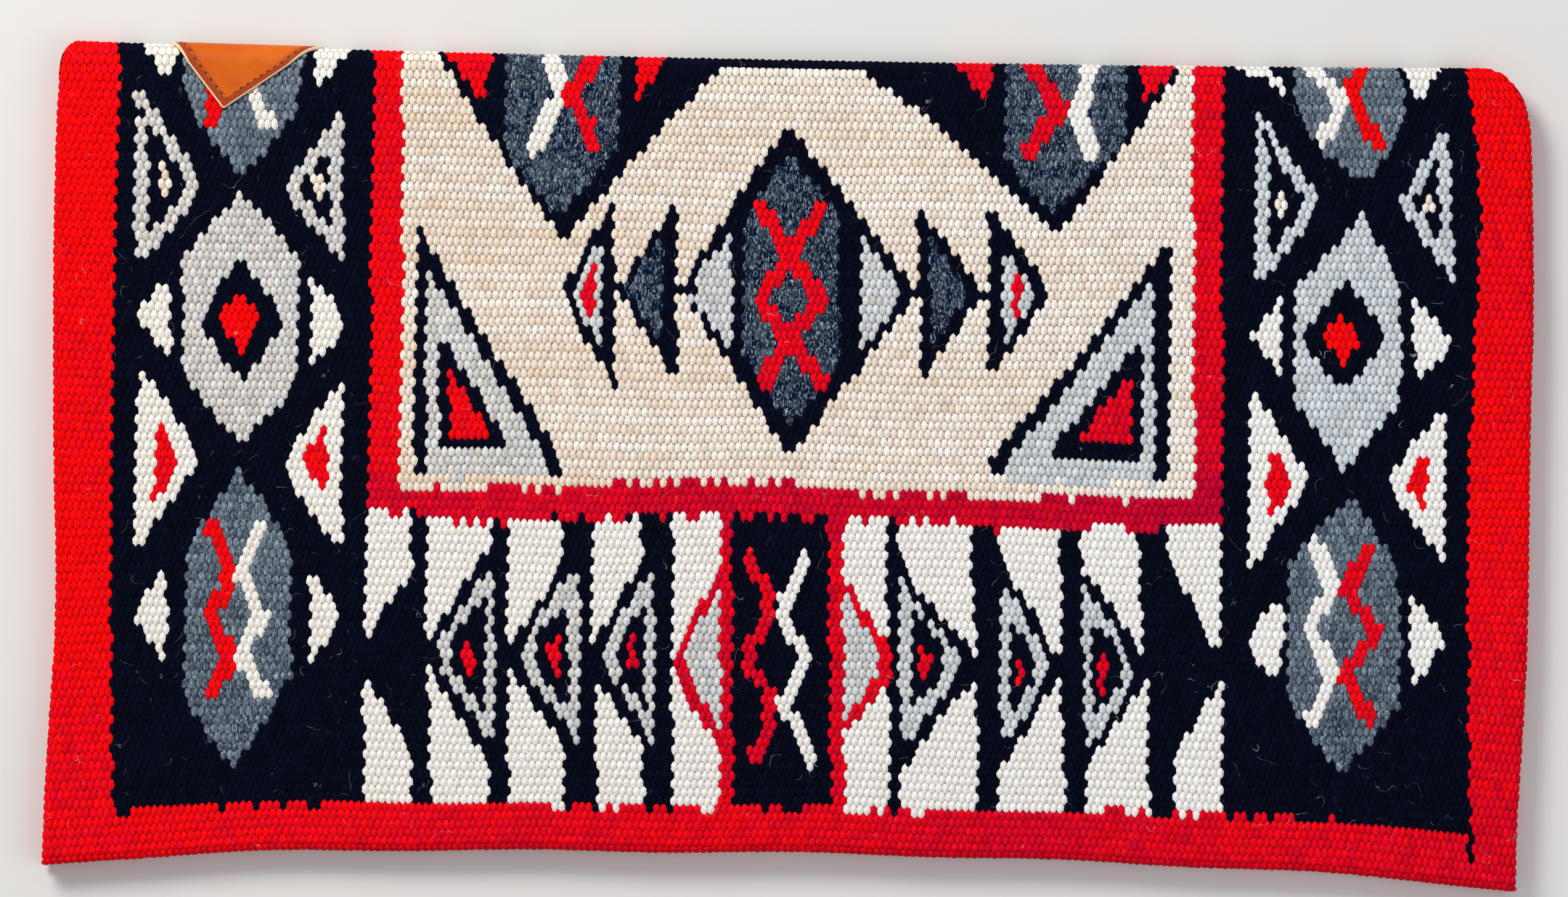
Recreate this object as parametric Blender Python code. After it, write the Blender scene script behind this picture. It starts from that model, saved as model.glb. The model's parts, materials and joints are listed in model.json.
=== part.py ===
"""Heavy wool show saddle blanket, folded in half on its spine and lying flat.

The cloth is a tapestry: each colour area is woven by a yarn of its own and goes right through the
cloth, so each area is a solid of its own that fits its neighbours like an inlay. Both halves carry
the same design. The roll at the spine is four wedge-shaped strips and a flat edge strip, each turning
on the outer face of the one before, so that the blanket opens flat. A square leather patch is folded
over the spine.

Metres, +Z up. X runs across the blanket, the spine lies at +Y and the free ends at -Y. The origin
is at the middle of the footprint, on the surface that the blanket lies on.
"""

import math

import bmesh
import bpy
from mathutils import Matrix, Vector

# Cloth
BLANKET_WIDTH = 0.8636
OPEN_LENGTH = 0.9652
CLOTH_THICKNESS = 0.009
CLEARANCE = 0.0003
EDGE_ROUND = 0.003
EDGE_ROUND_STEPS = 2

# Roll at the spine
ROLL_STRIPS = 4
ROLL_HOLLOW = 0.001
ROLL_EDGE = 0.008
ARC_STEPS = 3
SPINE_DRAW_IN = 0.011
LEAF_DRAW_IN = 0.006
DRAW_IN_LENGTH = 0.024

# Corners of the free end
CORNER_DROP = 0.0075
CORNER_ROUND = 0.006
CORNER_STEPS = 4

# Layout of the colour areas
SIDE_BORDER = 0.034
END_BORDER = 0.034
SIDE_PANEL = 0.149
FRAME_UPRIGHT = 0.018
FRAME_RAIL = 0.020
END_BAND = 0.1715
STRIPE = 0.008
STRIPE_SPACING = 0.055

# Lozenges of the side panels: width, length, length of the straight side, distance from the roll
HIGH_LOZENGE_WIDTH = 0.068
HIGH_LOZENGE_LENGTH = 0.1444
HIGH_LOZENGE_SIDE = 0.0667
HIGH_LOZENGE_PLACE = 0.150
LOW_LOZENGE_WIDTH = 0.0645
LOW_LOZENGE_LENGTH = 0.174
LOW_LOZENGE_SIDE = 0.074
LOW_LOZENGE_PLACE = 0.3304
SPINE_LOZENGE_WIDTH = 0.069
SPINE_LOZENGE_REACH = 0.066
SPINE_LOZENGE_SIDE = 0.0304
EYE_WIDTH = 0.048
EYE_LENGTH = 0.073

# Diamond and triangles of the field
DIAMOND_WIDTH = 0.138
DIAMOND_LENGTH = 0.1955
DIAMOND_PLACE = 0.128
DIAMOND_OUTLINE = 0.0095
SPINE_TRIANGLE_WIDTH = 0.152
SPINE_TRIANGLE_REACH = 0.101
SPINE_TRIANGLE_PLACE_SHARE = 0.54
CORNER_TRIANGLE_BASE = 0.086
CORNER_TRIANGLE_HEIGHT = 0.138
CORNER_TRIANGLE_SIDE_MARGIN = 0.012
CORNER_TRIANGLE_RAIL_MARGIN = 0.0065

# Leather patch: a square sheet, set cornerwise over the spine and turned a little
PATCH_THICKNESS = 0.0024
PATCH_SPAN = 0.085
PATCH_REACH = 0.0395
PATCH_OFFSET = 0.0004
PATCH_SKEW = 0.012
CUT_OVERRUN = 0.002

# Limits of the modelling tools
WELD = 1e-6
FLAT_ANGLE = math.radians(1)
SEAT_OVERRUN_ANGLE = math.radians(6)

# Derived sizes
ROLL_RADIUS = CLOTH_THICKNESS + CLEARANCE / 2
STRIP_ANGLE = math.pi / ROLL_STRIPS
STRIP_CHORD = 2 * ROLL_RADIUS * math.sin(STRIP_ANGLE / 2)
LEAF_LENGTH = (OPEN_LENGTH - ROLL_STRIPS * STRIP_CHORD) / 2
HALF_WIDTH = BLANKET_WIDTH / 2
PANEL_OUTER = HALF_WIDTH - SIDE_BORDER
PANEL_INNER = PANEL_OUTER - SIDE_PANEL
PANEL_MIDDLE = (PANEL_OUTER + PANEL_INNER) / 2
FIELD_HALF = PANEL_INNER - FRAME_UPRIGHT
PATCH_PLACE = PANEL_MIDDLE + PATCH_OFFSET
BAND_END = LEAF_LENGTH - END_BORDER
BAND_START = BAND_END - END_BAND
FIELD_LENGTH = BAND_START - FRAME_RAIL
ROLL_Y = (LEAF_LENGTH + CORNER_DROP - ROLL_RADIUS) / 2
ROLL_Z = ROLL_RADIUS
QUARTER_ROLL = ROLL_RADIUS * math.pi / 2
HALF_GAP = CLEARANCE / 2
SIDES = {"left": -1, "right": 1}
STEPS = range(CORNER_STEPS + 1)
ALONG_X = Matrix(((0, 0, 1, 0), (1, 0, 0, 0), (0, 1, 0, 0), (0, 0, 0, 1)))

WOOL_ROUGHNESS = 0.95
COLOURS = {
    "red_wool": (0.74, 0.012, 0.008),
    "black_wool": (0.004, 0.005, 0.009),
    "cream_wool": (0.80, 0.71, 0.57),
    "charcoal_wool": (0.075, 0.095, 0.115),
    "grey_wool": (0.40, 0.42, 0.44),
    "tan_leather": (0.42, 0.125, 0.026),
}
LEATHER_ROUGHNESS = 0.5


def clear_scene():
    """Remove whatever the scene holds."""
    for item in list(bpy.data.objects):
        bpy.data.objects.remove(item, do_unlink=True)


def new_collection(name):
    """Add a collection to the scene."""
    collection = bpy.data.collections.new(name)
    bpy.context.scene.collection.children.link(collection)
    return collection


def new_material(name):
    """Plain wool or leather in one of the blanket's colours."""
    material = bpy.data.materials.new(name)
    material.use_nodes = True
    shader = material.node_tree.nodes["Principled BSDF"]
    shader.inputs["Base Color"].default_value = (*COLOURS[name], 1)
    shader.inputs["Metallic"].default_value = 0
    is_leather = name.endswith("leather")
    shader.inputs["Roughness"].default_value = LEATHER_ROUGHNESS if is_leather else WOOL_ROUGHNESS
    return material


def prism(name, loops, height, place, material=None):
    """A flat outline with its holes, extruded by height along the local Z of place."""
    curve = bpy.data.curves.new(name, "CURVE")
    curve.dimensions = "2D"
    curve.fill_mode = "BOTH"
    curve.extrude = height / 2
    for loop in loops:
        spline = curve.splines.new("POLY")
        spline.points.add(len(loop) - 1)
        for point, (a, b) in zip(spline.points, loop):
            point.co = (a, b, 0, 1)
        spline.use_cyclic_u = True
    guide = bpy.data.objects.new(name + "_outline", curve)
    bpy.context.scene.collection.objects.link(guide)
    graph = bpy.context.evaluated_depsgraph_get()
    mesh = bpy.data.meshes.new_from_object(guide.evaluated_get(graph))
    mesh.name = name
    bpy.data.objects.remove(guide, do_unlink=True)
    shell = bmesh.new()
    shell.from_mesh(mesh)
    bmesh.ops.remove_doubles(shell, verts=shell.verts, dist=WELD)
    bmesh.ops.recalc_face_normals(shell, faces=shell.faces)
    shell.to_mesh(mesh)
    shell.free()
    mesh.materials.clear()
    if material:
        mesh.materials.append(MATERIALS[material])
    piece = bpy.data.objects.new(name, mesh)
    piece.matrix_world = place
    return piece




def outset(outline, distance):
    """The outline moved outwards by a distance, or inwards if it is negative."""
    area = sum(a[0] * b[1] - b[0] * a[1] for a, b in zip(outline, outline[1:] + outline[:1]))
    sense = math.copysign(1, area)
    moved = []
    for before, corner, after in zip(outline[-1:] + outline[:-1], outline, outline[1:] + outline[:1]):
        into = (Vector(corner) - Vector(before)).normalized()
        away = (Vector(after) - Vector(corner)).normalized()
        normals = [Vector((side.y, -side.x)) * sense for side in (into, away)]
        mitre = (normals[0] + normals[1]).normalized()
        moved.append(tuple(Vector(corner) + mitre * distance / mitre.dot(normals[0])))
    return moved


def plan(points):
    """Points given as (across, distance from the roll) as (x, y)."""
    return [(x, ROLL_Y - u) for x, u in points]


def rectangle(x_from, x_to, u_from, u_to):
    """A rectangle in (across, distance from the roll)."""
    return [(x_from, u_from), (x_to, u_from), (x_to, u_to), (x_from, u_to)]


def lozenge(x, u, width, length, side):
    """A six-sided lozenge with two straight sides."""
    return [
        (x, u - length / 2),
        (x + width / 2, u - side / 2),
        (x + width / 2, u + side / 2),
        (x, u + length / 2),
        (x - width / 2, u + side / 2),
        (x - width / 2, u - side / 2),
    ]


def diamond(x, u, width, length):
    """A four-sided diamond."""
    return [(x, u - length / 2), (x + width / 2, u), (x, u + length / 2), (x - width / 2, u)]


def spine_lozenge(x, start):
    """The part of a lozenge between a start near the roll and its tip."""
    half = SPINE_LOZENGE_WIDTH / 2
    return [
        (x - half, start),
        (x + half, start),
        (x + half, SPINE_LOZENGE_SIDE),
        (x, SPINE_LOZENGE_REACH),
        (x - half, SPINE_LOZENGE_SIDE),
    ]


def spine_triangle(side, start):
    """The black triangle that reaches from a start near the roll into the field."""
    middle = side * SPINE_TRIANGLE_PLACE_SHARE * FIELD_HALF
    half = SPINE_TRIANGLE_WIDTH / 2 * (SPINE_TRIANGLE_REACH - start) / SPINE_TRIANGLE_REACH
    return [(middle - half, start), (middle + half, start), (middle, SPINE_TRIANGLE_REACH)]


def corner_triangle(side):
    """The triangle in a lower corner of the field."""
    outer = side * (FIELD_HALF - CORNER_TRIANGLE_SIDE_MARGIN)
    inner = outer - side * CORNER_TRIANGLE_BASE
    low = FIELD_LENGTH - CORNER_TRIANGLE_RAIL_MARGIN
    return [(outer, low - CORNER_TRIANGLE_HEIGHT), (outer, low), (inner, low)]


def half_width(u):
    """Half the blanket's width at a distance from the roll: it is drawn in beside the roll."""
    rise = 1 - min(u, DRAW_IN_LENGTH) / DRAW_IN_LENGTH
    return HALF_WIDTH - LEAF_DRAW_IN * (1 - math.sqrt(1 - rise * rise))


def side_border_outline(side, start):
    """The red border down one side: drawn in at the spine, and longer at its free corner."""
    reach = DRAW_IN_LENGTH - start
    outer = [start + reach * (1 - math.cos(step * math.pi / 2 / CORNER_STEPS)) for step in STEPS]
    corner_x, corner_u = HALF_WIDTH - CORNER_ROUND, LEAF_LENGTH + CORNER_DROP - CORNER_ROUND
    corner = [
        (corner_x + CORNER_ROUND * math.cos(step * math.pi / 2 / CORNER_STEPS),
         corner_u + CORNER_ROUND * math.sin(step * math.pi / 2 / CORNER_STEPS))
        for step in STEPS
    ]
    inner = [(PANEL_OUTER, LEAF_LENGTH), (PANEL_OUTER, start)]
    return [(side * x, u) for x, u in [(half_width(u), u) for u in outer] + corner + inner]


def ground_outline(side, start):
    """The black ground of one side panel and of its half of the end band."""
    stripe_outer = STRIPE_SPACING / 2 + STRIPE
    points = [
        (PANEL_INNER, start),
        (PANEL_OUTER, start),
        (PANEL_OUTER, BAND_END),
        (stripe_outer, BAND_END),
        (stripe_outer, BAND_START),
        (PANEL_INNER, BAND_START),
    ]
    return [(side * x, u) for x, u in points]


def frame_outline(start):
    """The red frame round the field: two uprights and a rail."""
    right = [(FIELD_HALF, start), (PANEL_INNER, start), (PANEL_INNER, BAND_START)]
    inner = [(-FIELD_HALF, FIELD_LENGTH), (FIELD_HALF, FIELD_LENGTH)]
    left = [(-x, u) for x, u in reversed(right)]
    return right + left + inner


def edge_strip_outline():
    """The flat strip of cloth between the roll and the upper half, right across the blanket."""
    places = [ROLL_EDGE * step / CORNER_STEPS for step in STEPS]
    right = [(half_width(u), u) for u in places]
    return right + [(-x, u) for x, u in reversed(right)]


def cut(piece, cutter):
    """Cut one piece by another, exactly."""
    modifier = piece.modifiers.new(cutter.name, "BOOLEAN")
    modifier.operation = "DIFFERENCE"
    modifier.solver = "EXACT"
    modifier.object = cutter


def new_cutter(piece):
    """Keep a piece as a cutter, out of the blanket itself."""
    CUTTERS.objects.link(piece)
    piece.hide_render = True
    piece.display_type = "WIRE"
    return piece


def round_outer_edges(piece, is_outer):
    """Round the long edges of a border where is_outer holds for both ends."""
    shell = bmesh.new()
    shell.from_mesh(piece.data)
    bmesh.ops.dissolve_limit(shell, angle_limit=FLAT_ANGLE, verts=shell.verts, edges=shell.edges)
    edges = [
        edge
        for edge in shell.edges
        if abs(edge.verts[0].co.z - edge.verts[1].co.z) < WELD
        and is_outer(*(vert.co for vert in edge.verts))
    ]
    bmesh.ops.bevel(
        shell, geom=edges, offset=EDGE_ROUND, segments=EDGE_ROUND_STEPS, affect="EDGES"
    )
    bmesh.ops.triangulate(shell, faces=shell.faces)
    shell.to_mesh(piece.data)
    shell.free()


def border_edge(first, second):
    """True for an edge of a side border that nothing lies against."""
    inner = max(abs(first.x), abs(second.x)) < PANEL_OUTER + CLEARANCE
    spine = abs(first.y - second.y) < WELD and min(first.y, second.y) > ROLL_Y - ROLL_EDGE - CLEARANCE
    return not inner and not spine


def end_edge(first, second):
    """True for an edge along the free end."""
    return max(first.y, second.y) < ROLL_Y - LEAF_LENGTH + CLEARANCE


def leaf_areas(start):
    """The colour areas of one half: name, material, outline, and the slots for what is inlaid in it."""
    slot_start = start - CUT_OVERRUN
    ring = diamond(0, DIAMOND_PLACE, DIAMOND_WIDTH, DIAMOND_LENGTH)
    core = outset(ring, -DIAMOND_OUTLINE)
    stripe_inner = STRIPE_SPACING / 2
    in_field = [ring]
    areas = [
        ("frame", "red_wool", frame_outline(start), []),
        ("end_border", "red_wool", rectangle(-PANEL_OUTER, PANEL_OUTER, BAND_END, LEAF_LENGTH), []),
        ("center_ground", "black_wool", rectangle(-stripe_inner, stripe_inner, BAND_START, BAND_END), []),
        ("diamond_outline", "black_wool", ring, [core]),
        ("diamond_core", "charcoal_wool", core, []),
    ]
    for name, side in SIDES.items():
        middle = side * PANEL_MIDDLE
        high = lozenge(
            middle, HIGH_LOZENGE_PLACE, HIGH_LOZENGE_WIDTH, HIGH_LOZENGE_LENGTH, HIGH_LOZENGE_SIDE
        )
        low = lozenge(middle, LOW_LOZENGE_PLACE, LOW_LOZENGE_WIDTH, LOW_LOZENGE_LENGTH, LOW_LOZENGE_SIDE)
        eye = diamond(middle, HIGH_LOZENGE_PLACE, EYE_WIDTH, EYE_LENGTH)
        corner = corner_triangle(side)
        stripe = rectangle(side * stripe_inner, side * (stripe_inner + STRIPE), BAND_START, BAND_END)
        in_field += [spine_triangle(side, slot_start), corner]
        in_ground = [spine_lozenge(middle, slot_start), high, low]
        areas += [
            (name + "_border", "red_wool", side_border_outline(side, start), []),
            (name + "_ground", "black_wool", ground_outline(side, start), in_ground),
            (name + "_stripe", "red_wool", stripe, []),
            (name + "_spine_lozenge", "charcoal_wool", spine_lozenge(middle, start), []),
            (name + "_high_lozenge", "grey_wool", high, [eye]),
            (name + "_eye", "black_wool", eye, []),
            (name + "_low_lozenge", "charcoal_wool", low, []),
            (name + "_spine_triangle", "black_wool", spine_triangle(side, start), []),
            (name + "_corner_triangle", "grey_wool", corner, []),
        ]
    field = rectangle(-FIELD_HALF, FIELD_HALF, start, FIELD_LENGTH)
    areas.append(("field", "cream_wool", field, in_field))
    return areas


def patch_edge(side, along):
    """Where a slanting edge of the patch crosses the cloth, at a distance from the crest of the roll."""
    start = -PATCH_PLACE + side * PATCH_SPAN / 2
    tip = -PATCH_PLACE - math.copysign(PATCH_SKEW, along)
    return start + (tip - start) * abs(along) / PATCH_REACH


def patch_outline(sense, start):
    """The tip of the patch on one half, from a start near the roll; sense is 1 above."""
    along = sense * (QUARTER_ROLL + start)
    tip = (-PATCH_PLACE - sense * PATCH_SKEW, PATCH_REACH - QUARTER_ROLL)
    return [(patch_edge(-1, along), start), (patch_edge(1, along), start), tip]


def on_roll(x, radius, angle):
    """A point of the roll; the angle is 0 at the crest and rises to the upper half."""
    return Vector((x, ROLL_Y + radius * math.cos(angle), ROLL_Z + radius * math.sin(angle)))


def roll_band(name, inner, outer, angles, gap, material=None):
    """A strip of the roll between two radii and two angles, as wide as the blanket."""
    low, high = angles
    steps = [low + (high - low) * step / ARC_STEPS for step in range(ARC_STEPS + 1)]
    profile = []
    for radius, row in ((outer, steps), (inner, steps[::-1])):
        trim = math.asin(gap / radius)
        for angle in row:
            profile.append(on_roll(0, radius, min(max(angle, low + trim), high - trim)).yz)
    return prism(name, [profile], BLANKET_WIDTH, ALONG_X, material)


def draw_in(piece):
    """Draw in both ends of a strip of the roll, most at the crest."""
    for vert in piece.data.vertices:
        y, z, x = vert.co
        crest_share = math.cos(math.atan2(z - ROLL_Z, y - ROLL_Y))
        inset = LEAF_DRAW_IN + (SPINE_DRAW_IN - LEAF_DRAW_IN) * crest_share
        vert.co.z = math.copysign(HALF_WIDTH - inset, x)


def trim_to_patch(piece, angles, margin):
    """Cut a band of the roll off along the two slanting edges of the patch, with a margin round them."""
    shell = bmesh.new()
    shell.from_mesh(piece.data)
    shell.transform(ALONG_X)
    low, high = angles
    outward = on_roll(0, 1, (low + high) / 2) - on_roll(0, 0, 0)
    for side in SIDES.values():
        first, last = (
            on_roll(patch_edge(side, ROLL_RADIUS * angle), ROLL_RADIUS, angle) for angle in angles
        )
        normal = (last - first).cross(outward).normalized()
        normal *= math.copysign(1, normal.x) * side
        found = bmesh.ops.bisect_plane(
            shell,
            geom=shell.verts[:] + shell.edges[:] + shell.faces[:],
            plane_co=first + normal * margin,
            plane_no=normal,
            clear_outer=True,
        )
        rim = [item for item in found["geom_cut"] if isinstance(item, bmesh.types.BMEdge)]
        bmesh.ops.edgenet_fill(shell, edges=rim)
    bmesh.ops.recalc_face_normals(shell, faces=shell.faces)
    shell.transform(ALONG_X.inverted())
    shell.to_mesh(piece.data)
    shell.free()
    return piece


def add(piece):
    """Put a finished piece into the blanket."""
    BLANKET.objects.link(piece)
    return piece


def leaf_slab(name, outline, bottom, material):
    """A flat area of the cloth, as thick as the cloth, clear of its neighbours."""
    place = Matrix.Translation((0, 0, bottom + CLOTH_THICKNESS / 2))
    return prism(name, [plan(outset(outline, -HALF_GAP))], CLOTH_THICKNESS, place, material)


def make_leaf(half, bottom, start):
    """All colour areas of one half."""
    for name, material, outline, slots in leaf_areas(start):
        piece = leaf_slab(half + "_" + name, outline, bottom, material)
        if name in ("left_border", "right_border"):
            round_outer_edges(piece, border_edge)
        if name == "end_border":
            round_outer_edges(piece, end_edge)
        for number, slot in enumerate(slots):
            place = Matrix.Translation((0, 0, bottom + CLOTH_THICKNESS / 2))
            tall = CLOTH_THICKNESS + 2 * CUT_OVERRUN
            tool = prism(f"{half}_{name}_slot_{number}", [plan(outset(slot, HALF_GAP))], tall, place)
            cut(piece, new_cutter(tool))
        add(piece)


def make_patch_leaf(half, sense, face, start):
    """The tip of the patch on one half, sunk flush into its face, and its seat in the wool."""
    middle = Matrix.Translation((0, 0, face - sense * PATCH_THICKNESS / 2))
    outline = plan(outset(patch_outline(sense, start), -HALF_GAP))
    add(prism(half + "_patch", [outline], PATCH_THICKNESS, middle, "tan_leather"))
    seat_outline = plan(outset(patch_outline(sense, -CUT_OVERRUN), HALF_GAP))
    seat_depth = PATCH_THICKNESS + CLEARANCE
    seat = prism(half + "_patch_seat", [seat_outline], 2 * seat_depth, Matrix.Translation((0, 0, face)))
    new_cutter(seat)
    for under in ("_left_spine_lozenge", "_left_ground"):
        cut(BLANKET.objects[half + under], seat)
    return seat


def make_edge_strip(seat):
    """The flat strip past the roll, and the strip of the patch that is sunk into it."""
    top = 2 * ROLL_RADIUS
    strip = leaf_slab("roll_edge_strip", edge_strip_outline(), top - CLOTH_THICKNESS, "cream_wool")
    cut(add(strip), seat)
    corners = [
        (patch_edge(side, QUARTER_ROLL + u), u)
        for side, u in ((-1, 0), (1, 0), (1, ROLL_EDGE), (-1, ROLL_EDGE))
    ]
    middle = Matrix.Translation((0, 0, top - PATCH_THICKNESS / 2))
    outline = plan(outset(corners, -HALF_GAP))
    add(prism("patch_edge_strip", [outline], PATCH_THICKNESS, middle, "tan_leather"))


def make_roll():
    """The strips of the roll and the strips of the patch that bend round it."""
    leather_inner = ROLL_RADIUS - PATCH_THICKNESS
    for number in range(ROLL_STRIPS):
        low = -math.pi / 2 + number * STRIP_ANGLE
        angles = (low, low + STRIP_ANGLE)
        wide_angles = (low - SEAT_OVERRUN_ANGLE, low + STRIP_ANGLE + SEAT_OVERRUN_ANGLE)
        label = str(number + 1)
        strip = roll_band("roll_strip_" + label, ROLL_HOLLOW, ROLL_RADIUS, angles, HALF_GAP, "cream_wool")
        draw_in(strip)
        seat = roll_band(
            "roll_seat_" + label, leather_inner - CLEARANCE, ROLL_RADIUS + CUT_OVERRUN, wide_angles, 0
        )
        cut(add(strip), new_cutter(trim_to_patch(seat, angles, CLEARANCE)))
        leather = roll_band(
            "patch_strip_" + label, leather_inner, ROLL_RADIUS, angles, HALF_GAP, "tan_leather"
        )
        add(trim_to_patch(leather, angles, 0))


clear_scene()
MATERIALS = {name: new_material(name) for name in COLOURS}
BLANKET = new_collection("saddle_blanket")
CUTTERS = new_collection("cutters")
make_leaf("lower", 0, 0)
make_leaf("upper", CLOTH_THICKNESS + CLEARANCE, ROLL_EDGE)
make_patch_leaf("lower", -1, 0, 0)
make_edge_strip(make_patch_leaf("upper", 1, 2 * ROLL_RADIUS, ROLL_EDGE))
make_roll()
print(len(BLANKET.objects), "pieces")
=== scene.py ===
# %% [markdown]
# A hand-woven wool saddle blanket, folded once and lying flat. This lesson dresses a plain solid
# model in its real cloth. The cloth is a tapestry: thick wool runs along the short way of the folded
# blanket and hides the cords that it goes round, so all that shows is rows of fat oval stitches,
# here called beads. A picture of cloth on a flat face would lose the beads at the edges of the
# blanket and at each change of colour. So every bead is modelled, and each one wears a single yarn.

# %% Load the solid model
import json
import math
import bpy
import numpy as np
from mathutils import Matrix, Vector


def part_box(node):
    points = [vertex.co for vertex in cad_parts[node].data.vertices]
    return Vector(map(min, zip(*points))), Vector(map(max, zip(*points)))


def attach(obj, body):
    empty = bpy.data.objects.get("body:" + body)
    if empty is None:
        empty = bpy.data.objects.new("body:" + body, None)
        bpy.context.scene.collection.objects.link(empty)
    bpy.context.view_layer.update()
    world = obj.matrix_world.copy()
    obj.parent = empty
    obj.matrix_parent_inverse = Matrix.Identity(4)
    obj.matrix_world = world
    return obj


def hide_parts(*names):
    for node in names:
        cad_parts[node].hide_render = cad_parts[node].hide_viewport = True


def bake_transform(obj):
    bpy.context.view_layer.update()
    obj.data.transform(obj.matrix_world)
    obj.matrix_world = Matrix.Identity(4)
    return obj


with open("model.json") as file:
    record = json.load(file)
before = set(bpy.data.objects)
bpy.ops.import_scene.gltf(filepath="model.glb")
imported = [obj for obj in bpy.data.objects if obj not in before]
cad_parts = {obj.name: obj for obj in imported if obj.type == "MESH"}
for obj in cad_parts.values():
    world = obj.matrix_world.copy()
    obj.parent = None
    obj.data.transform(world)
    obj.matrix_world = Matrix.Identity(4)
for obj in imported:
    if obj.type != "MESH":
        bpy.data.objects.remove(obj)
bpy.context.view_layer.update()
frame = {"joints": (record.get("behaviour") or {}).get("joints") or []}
bpy.ops.object.select_all(action="DESELECT")

# %% [markdown]
# Sizes come from the solid model, so nothing has to be fitted by eye afterwards. A place on the cloth
# is given as x, across the blanket, and u, the distance from the roll at the fold towards the free
# end. Both halves carry the same design, so one map of x and u serves them both.

# %% Measure the cloth
hinges = {joint["name"]: Vector(joint["pos_m"]) for joint in frame["joints"]}
ROLL_Y = hinges["roll_bend_1"].y
ROLL_RADIUS = hinges["spine_fold"].z
ROLL_TOP = 2 * ROLL_RADIUS
QUARTER_ROLL = ROLL_RADIUS * math.pi / 2
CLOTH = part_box("lower_field")[1].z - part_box("lower_field")[0].z
HALF_CLOTH = CLOTH / 2
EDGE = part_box("lower_right_border")[1].x
PANEL_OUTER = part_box("lower_right_border")[0].x
PANEL_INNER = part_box("lower_frame")[1].x
DIAMOND_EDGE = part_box("lower_diamond_outline")[1].x
STRIPE_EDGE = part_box("lower_right_stripe")[1].x
RAIL_END = ROLL_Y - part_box("lower_frame")[0].y
BAND_END = ROLL_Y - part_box("lower_end_border")[1].y
FREE_END = ROLL_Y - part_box("lower_end_border")[0].y
MIDDLE = {"lower": HALF_CLOTH, "upper": ROLL_TOP - HALF_CLOTH}
print(f"half width {EDGE:.4f}, half length {FREE_END:.4f}, cloth {CLOTH:.4f}, roll {ROLL_RADIUS:.5f}")

# %% [markdown]
# The camera comes first, because the pattern is written down as corners seen in the photograph. The
# photograph was taken from almost straight above, leaning a little towards the free end, and it is
# turned by a degree. A long lens from far away keeps the sides of the blanket parallel, as they are
# there. The same numbers then tell where any point of the cloth falls in the picture.

# %% Camera
PHOTO_WIDTH, PHOTO_HEIGHT = 2544, 1456
PIXEL = 0.00036
CAMERA_DISTANCE = 6.0
CAMERA_LEAN = math.radians(9.2)
CAMERA_TURN = math.radians(1.1)
SENSOR = 36.0
AIM = Vector((-0.0049, 0.0102, ROLL_TOP))

forward = Vector((0, math.sin(CAMERA_LEAN), -math.cos(CAMERA_LEAN)))
level_right = Vector((1, 0, 0))
level_up = level_right.cross(forward)
right = level_right * math.cos(CAMERA_TURN) + level_up * math.sin(CAMERA_TURN)
up = level_up * math.cos(CAMERA_TURN) - level_right * math.sin(CAMERA_TURN)
camera_place = AIM - forward * CAMERA_DISTANCE

bpy.ops.object.camera_add()
camera = bpy.context.object
camera.name = "camera"
camera.data.sensor_width = SENSOR
camera.data.lens = SENSOR * CAMERA_DISTANCE / (PIXEL * PHOTO_WIDTH)
turned = Matrix((right, up, -forward)).transposed().to_4x4()
camera.matrix_world = Matrix.Translation(camera_place) @ turned
bpy.context.scene.camera = camera


def in_photo(x, y, z):
    """Where points of the model fall in the photograph, in its pixels."""
    away = np.stack([x - camera_place.x, y - camera_place.y, z - camera_place.z], -1)
    depth = away @ np.array(forward)
    zoom = CAMERA_DISTANCE / PIXEL
    across = away @ np.array(right) / depth * zoom + PHOTO_WIDTH / 2
    down = PHOTO_HEIGHT / 2 - away @ np.array(up) / depth * zoom
    return across, down


print("lens", round(camera.data.lens, 1), "mm")

# %% [markdown]
# The pattern is a list of painted areas, the later ones over the earlier ones, as a weaver fills a
# drawing. An area is the corners of one figure, and a line is a zigzag of a given width. Nothing is
# mirrored, because a hand weaver never makes both sides quite alike. Figures that reach over the fold
# have corners well past it.

# %% Pattern helpers
RED, BLACK, CREAM, WHITE, CHARCOAL, GREY = range(6)
painted = []


def area(yarn, *corners):
    """Fill one figure with a yarn."""
    painted.append((yarn, np.array(corners, float), None))


def line(yarn, width, *points):
    """Draw a zigzag of a given width with a yarn."""
    painted.append((yarn, np.array(points, float), width))


def shrink(corners, amount):
    """The corners of a convex figure moved inwards by an amount."""
    points = np.array(corners, float)
    before, after = np.roll(points, 1, 0), np.roll(points, -1, 0)
    turn = np.sign(np.sum(points[:, 0] * after[:, 1] - after[:, 0] * points[:, 1]))
    into = (points - before) / np.linalg.norm(points - before, axis=1, keepdims=True)
    out = (after - points) / np.linalg.norm(after - points, axis=1, keepdims=True)
    inward = [turn * np.stack([-side[:, 1], side[:, 0]], 1) for side in (into, out)]
    mitre = inward[0] + inward[1]
    mitre /= np.linalg.norm(mitre, axis=1, keepdims=True)
    return points + mitre * amount / np.sum(mitre * inward[0], axis=1, keepdims=True)


def nest(yarns, widths, *corners):
    """Figures inside each other, each smaller than the last by a width."""
    area(yarns[0], *corners)
    inset = 0
    for yarn, width in zip(yarns[1:], widths):
        inset += width
        area(yarn, *shrink(corners, inset))


print(GREY + 1, "yarns to paint with")

# %% [markdown]
# First the big areas: a red blanket, its black ground, the red frame round the cream field, and the
# band of black and white below. The edges of the big areas wander a little, because the cloth does.

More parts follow.
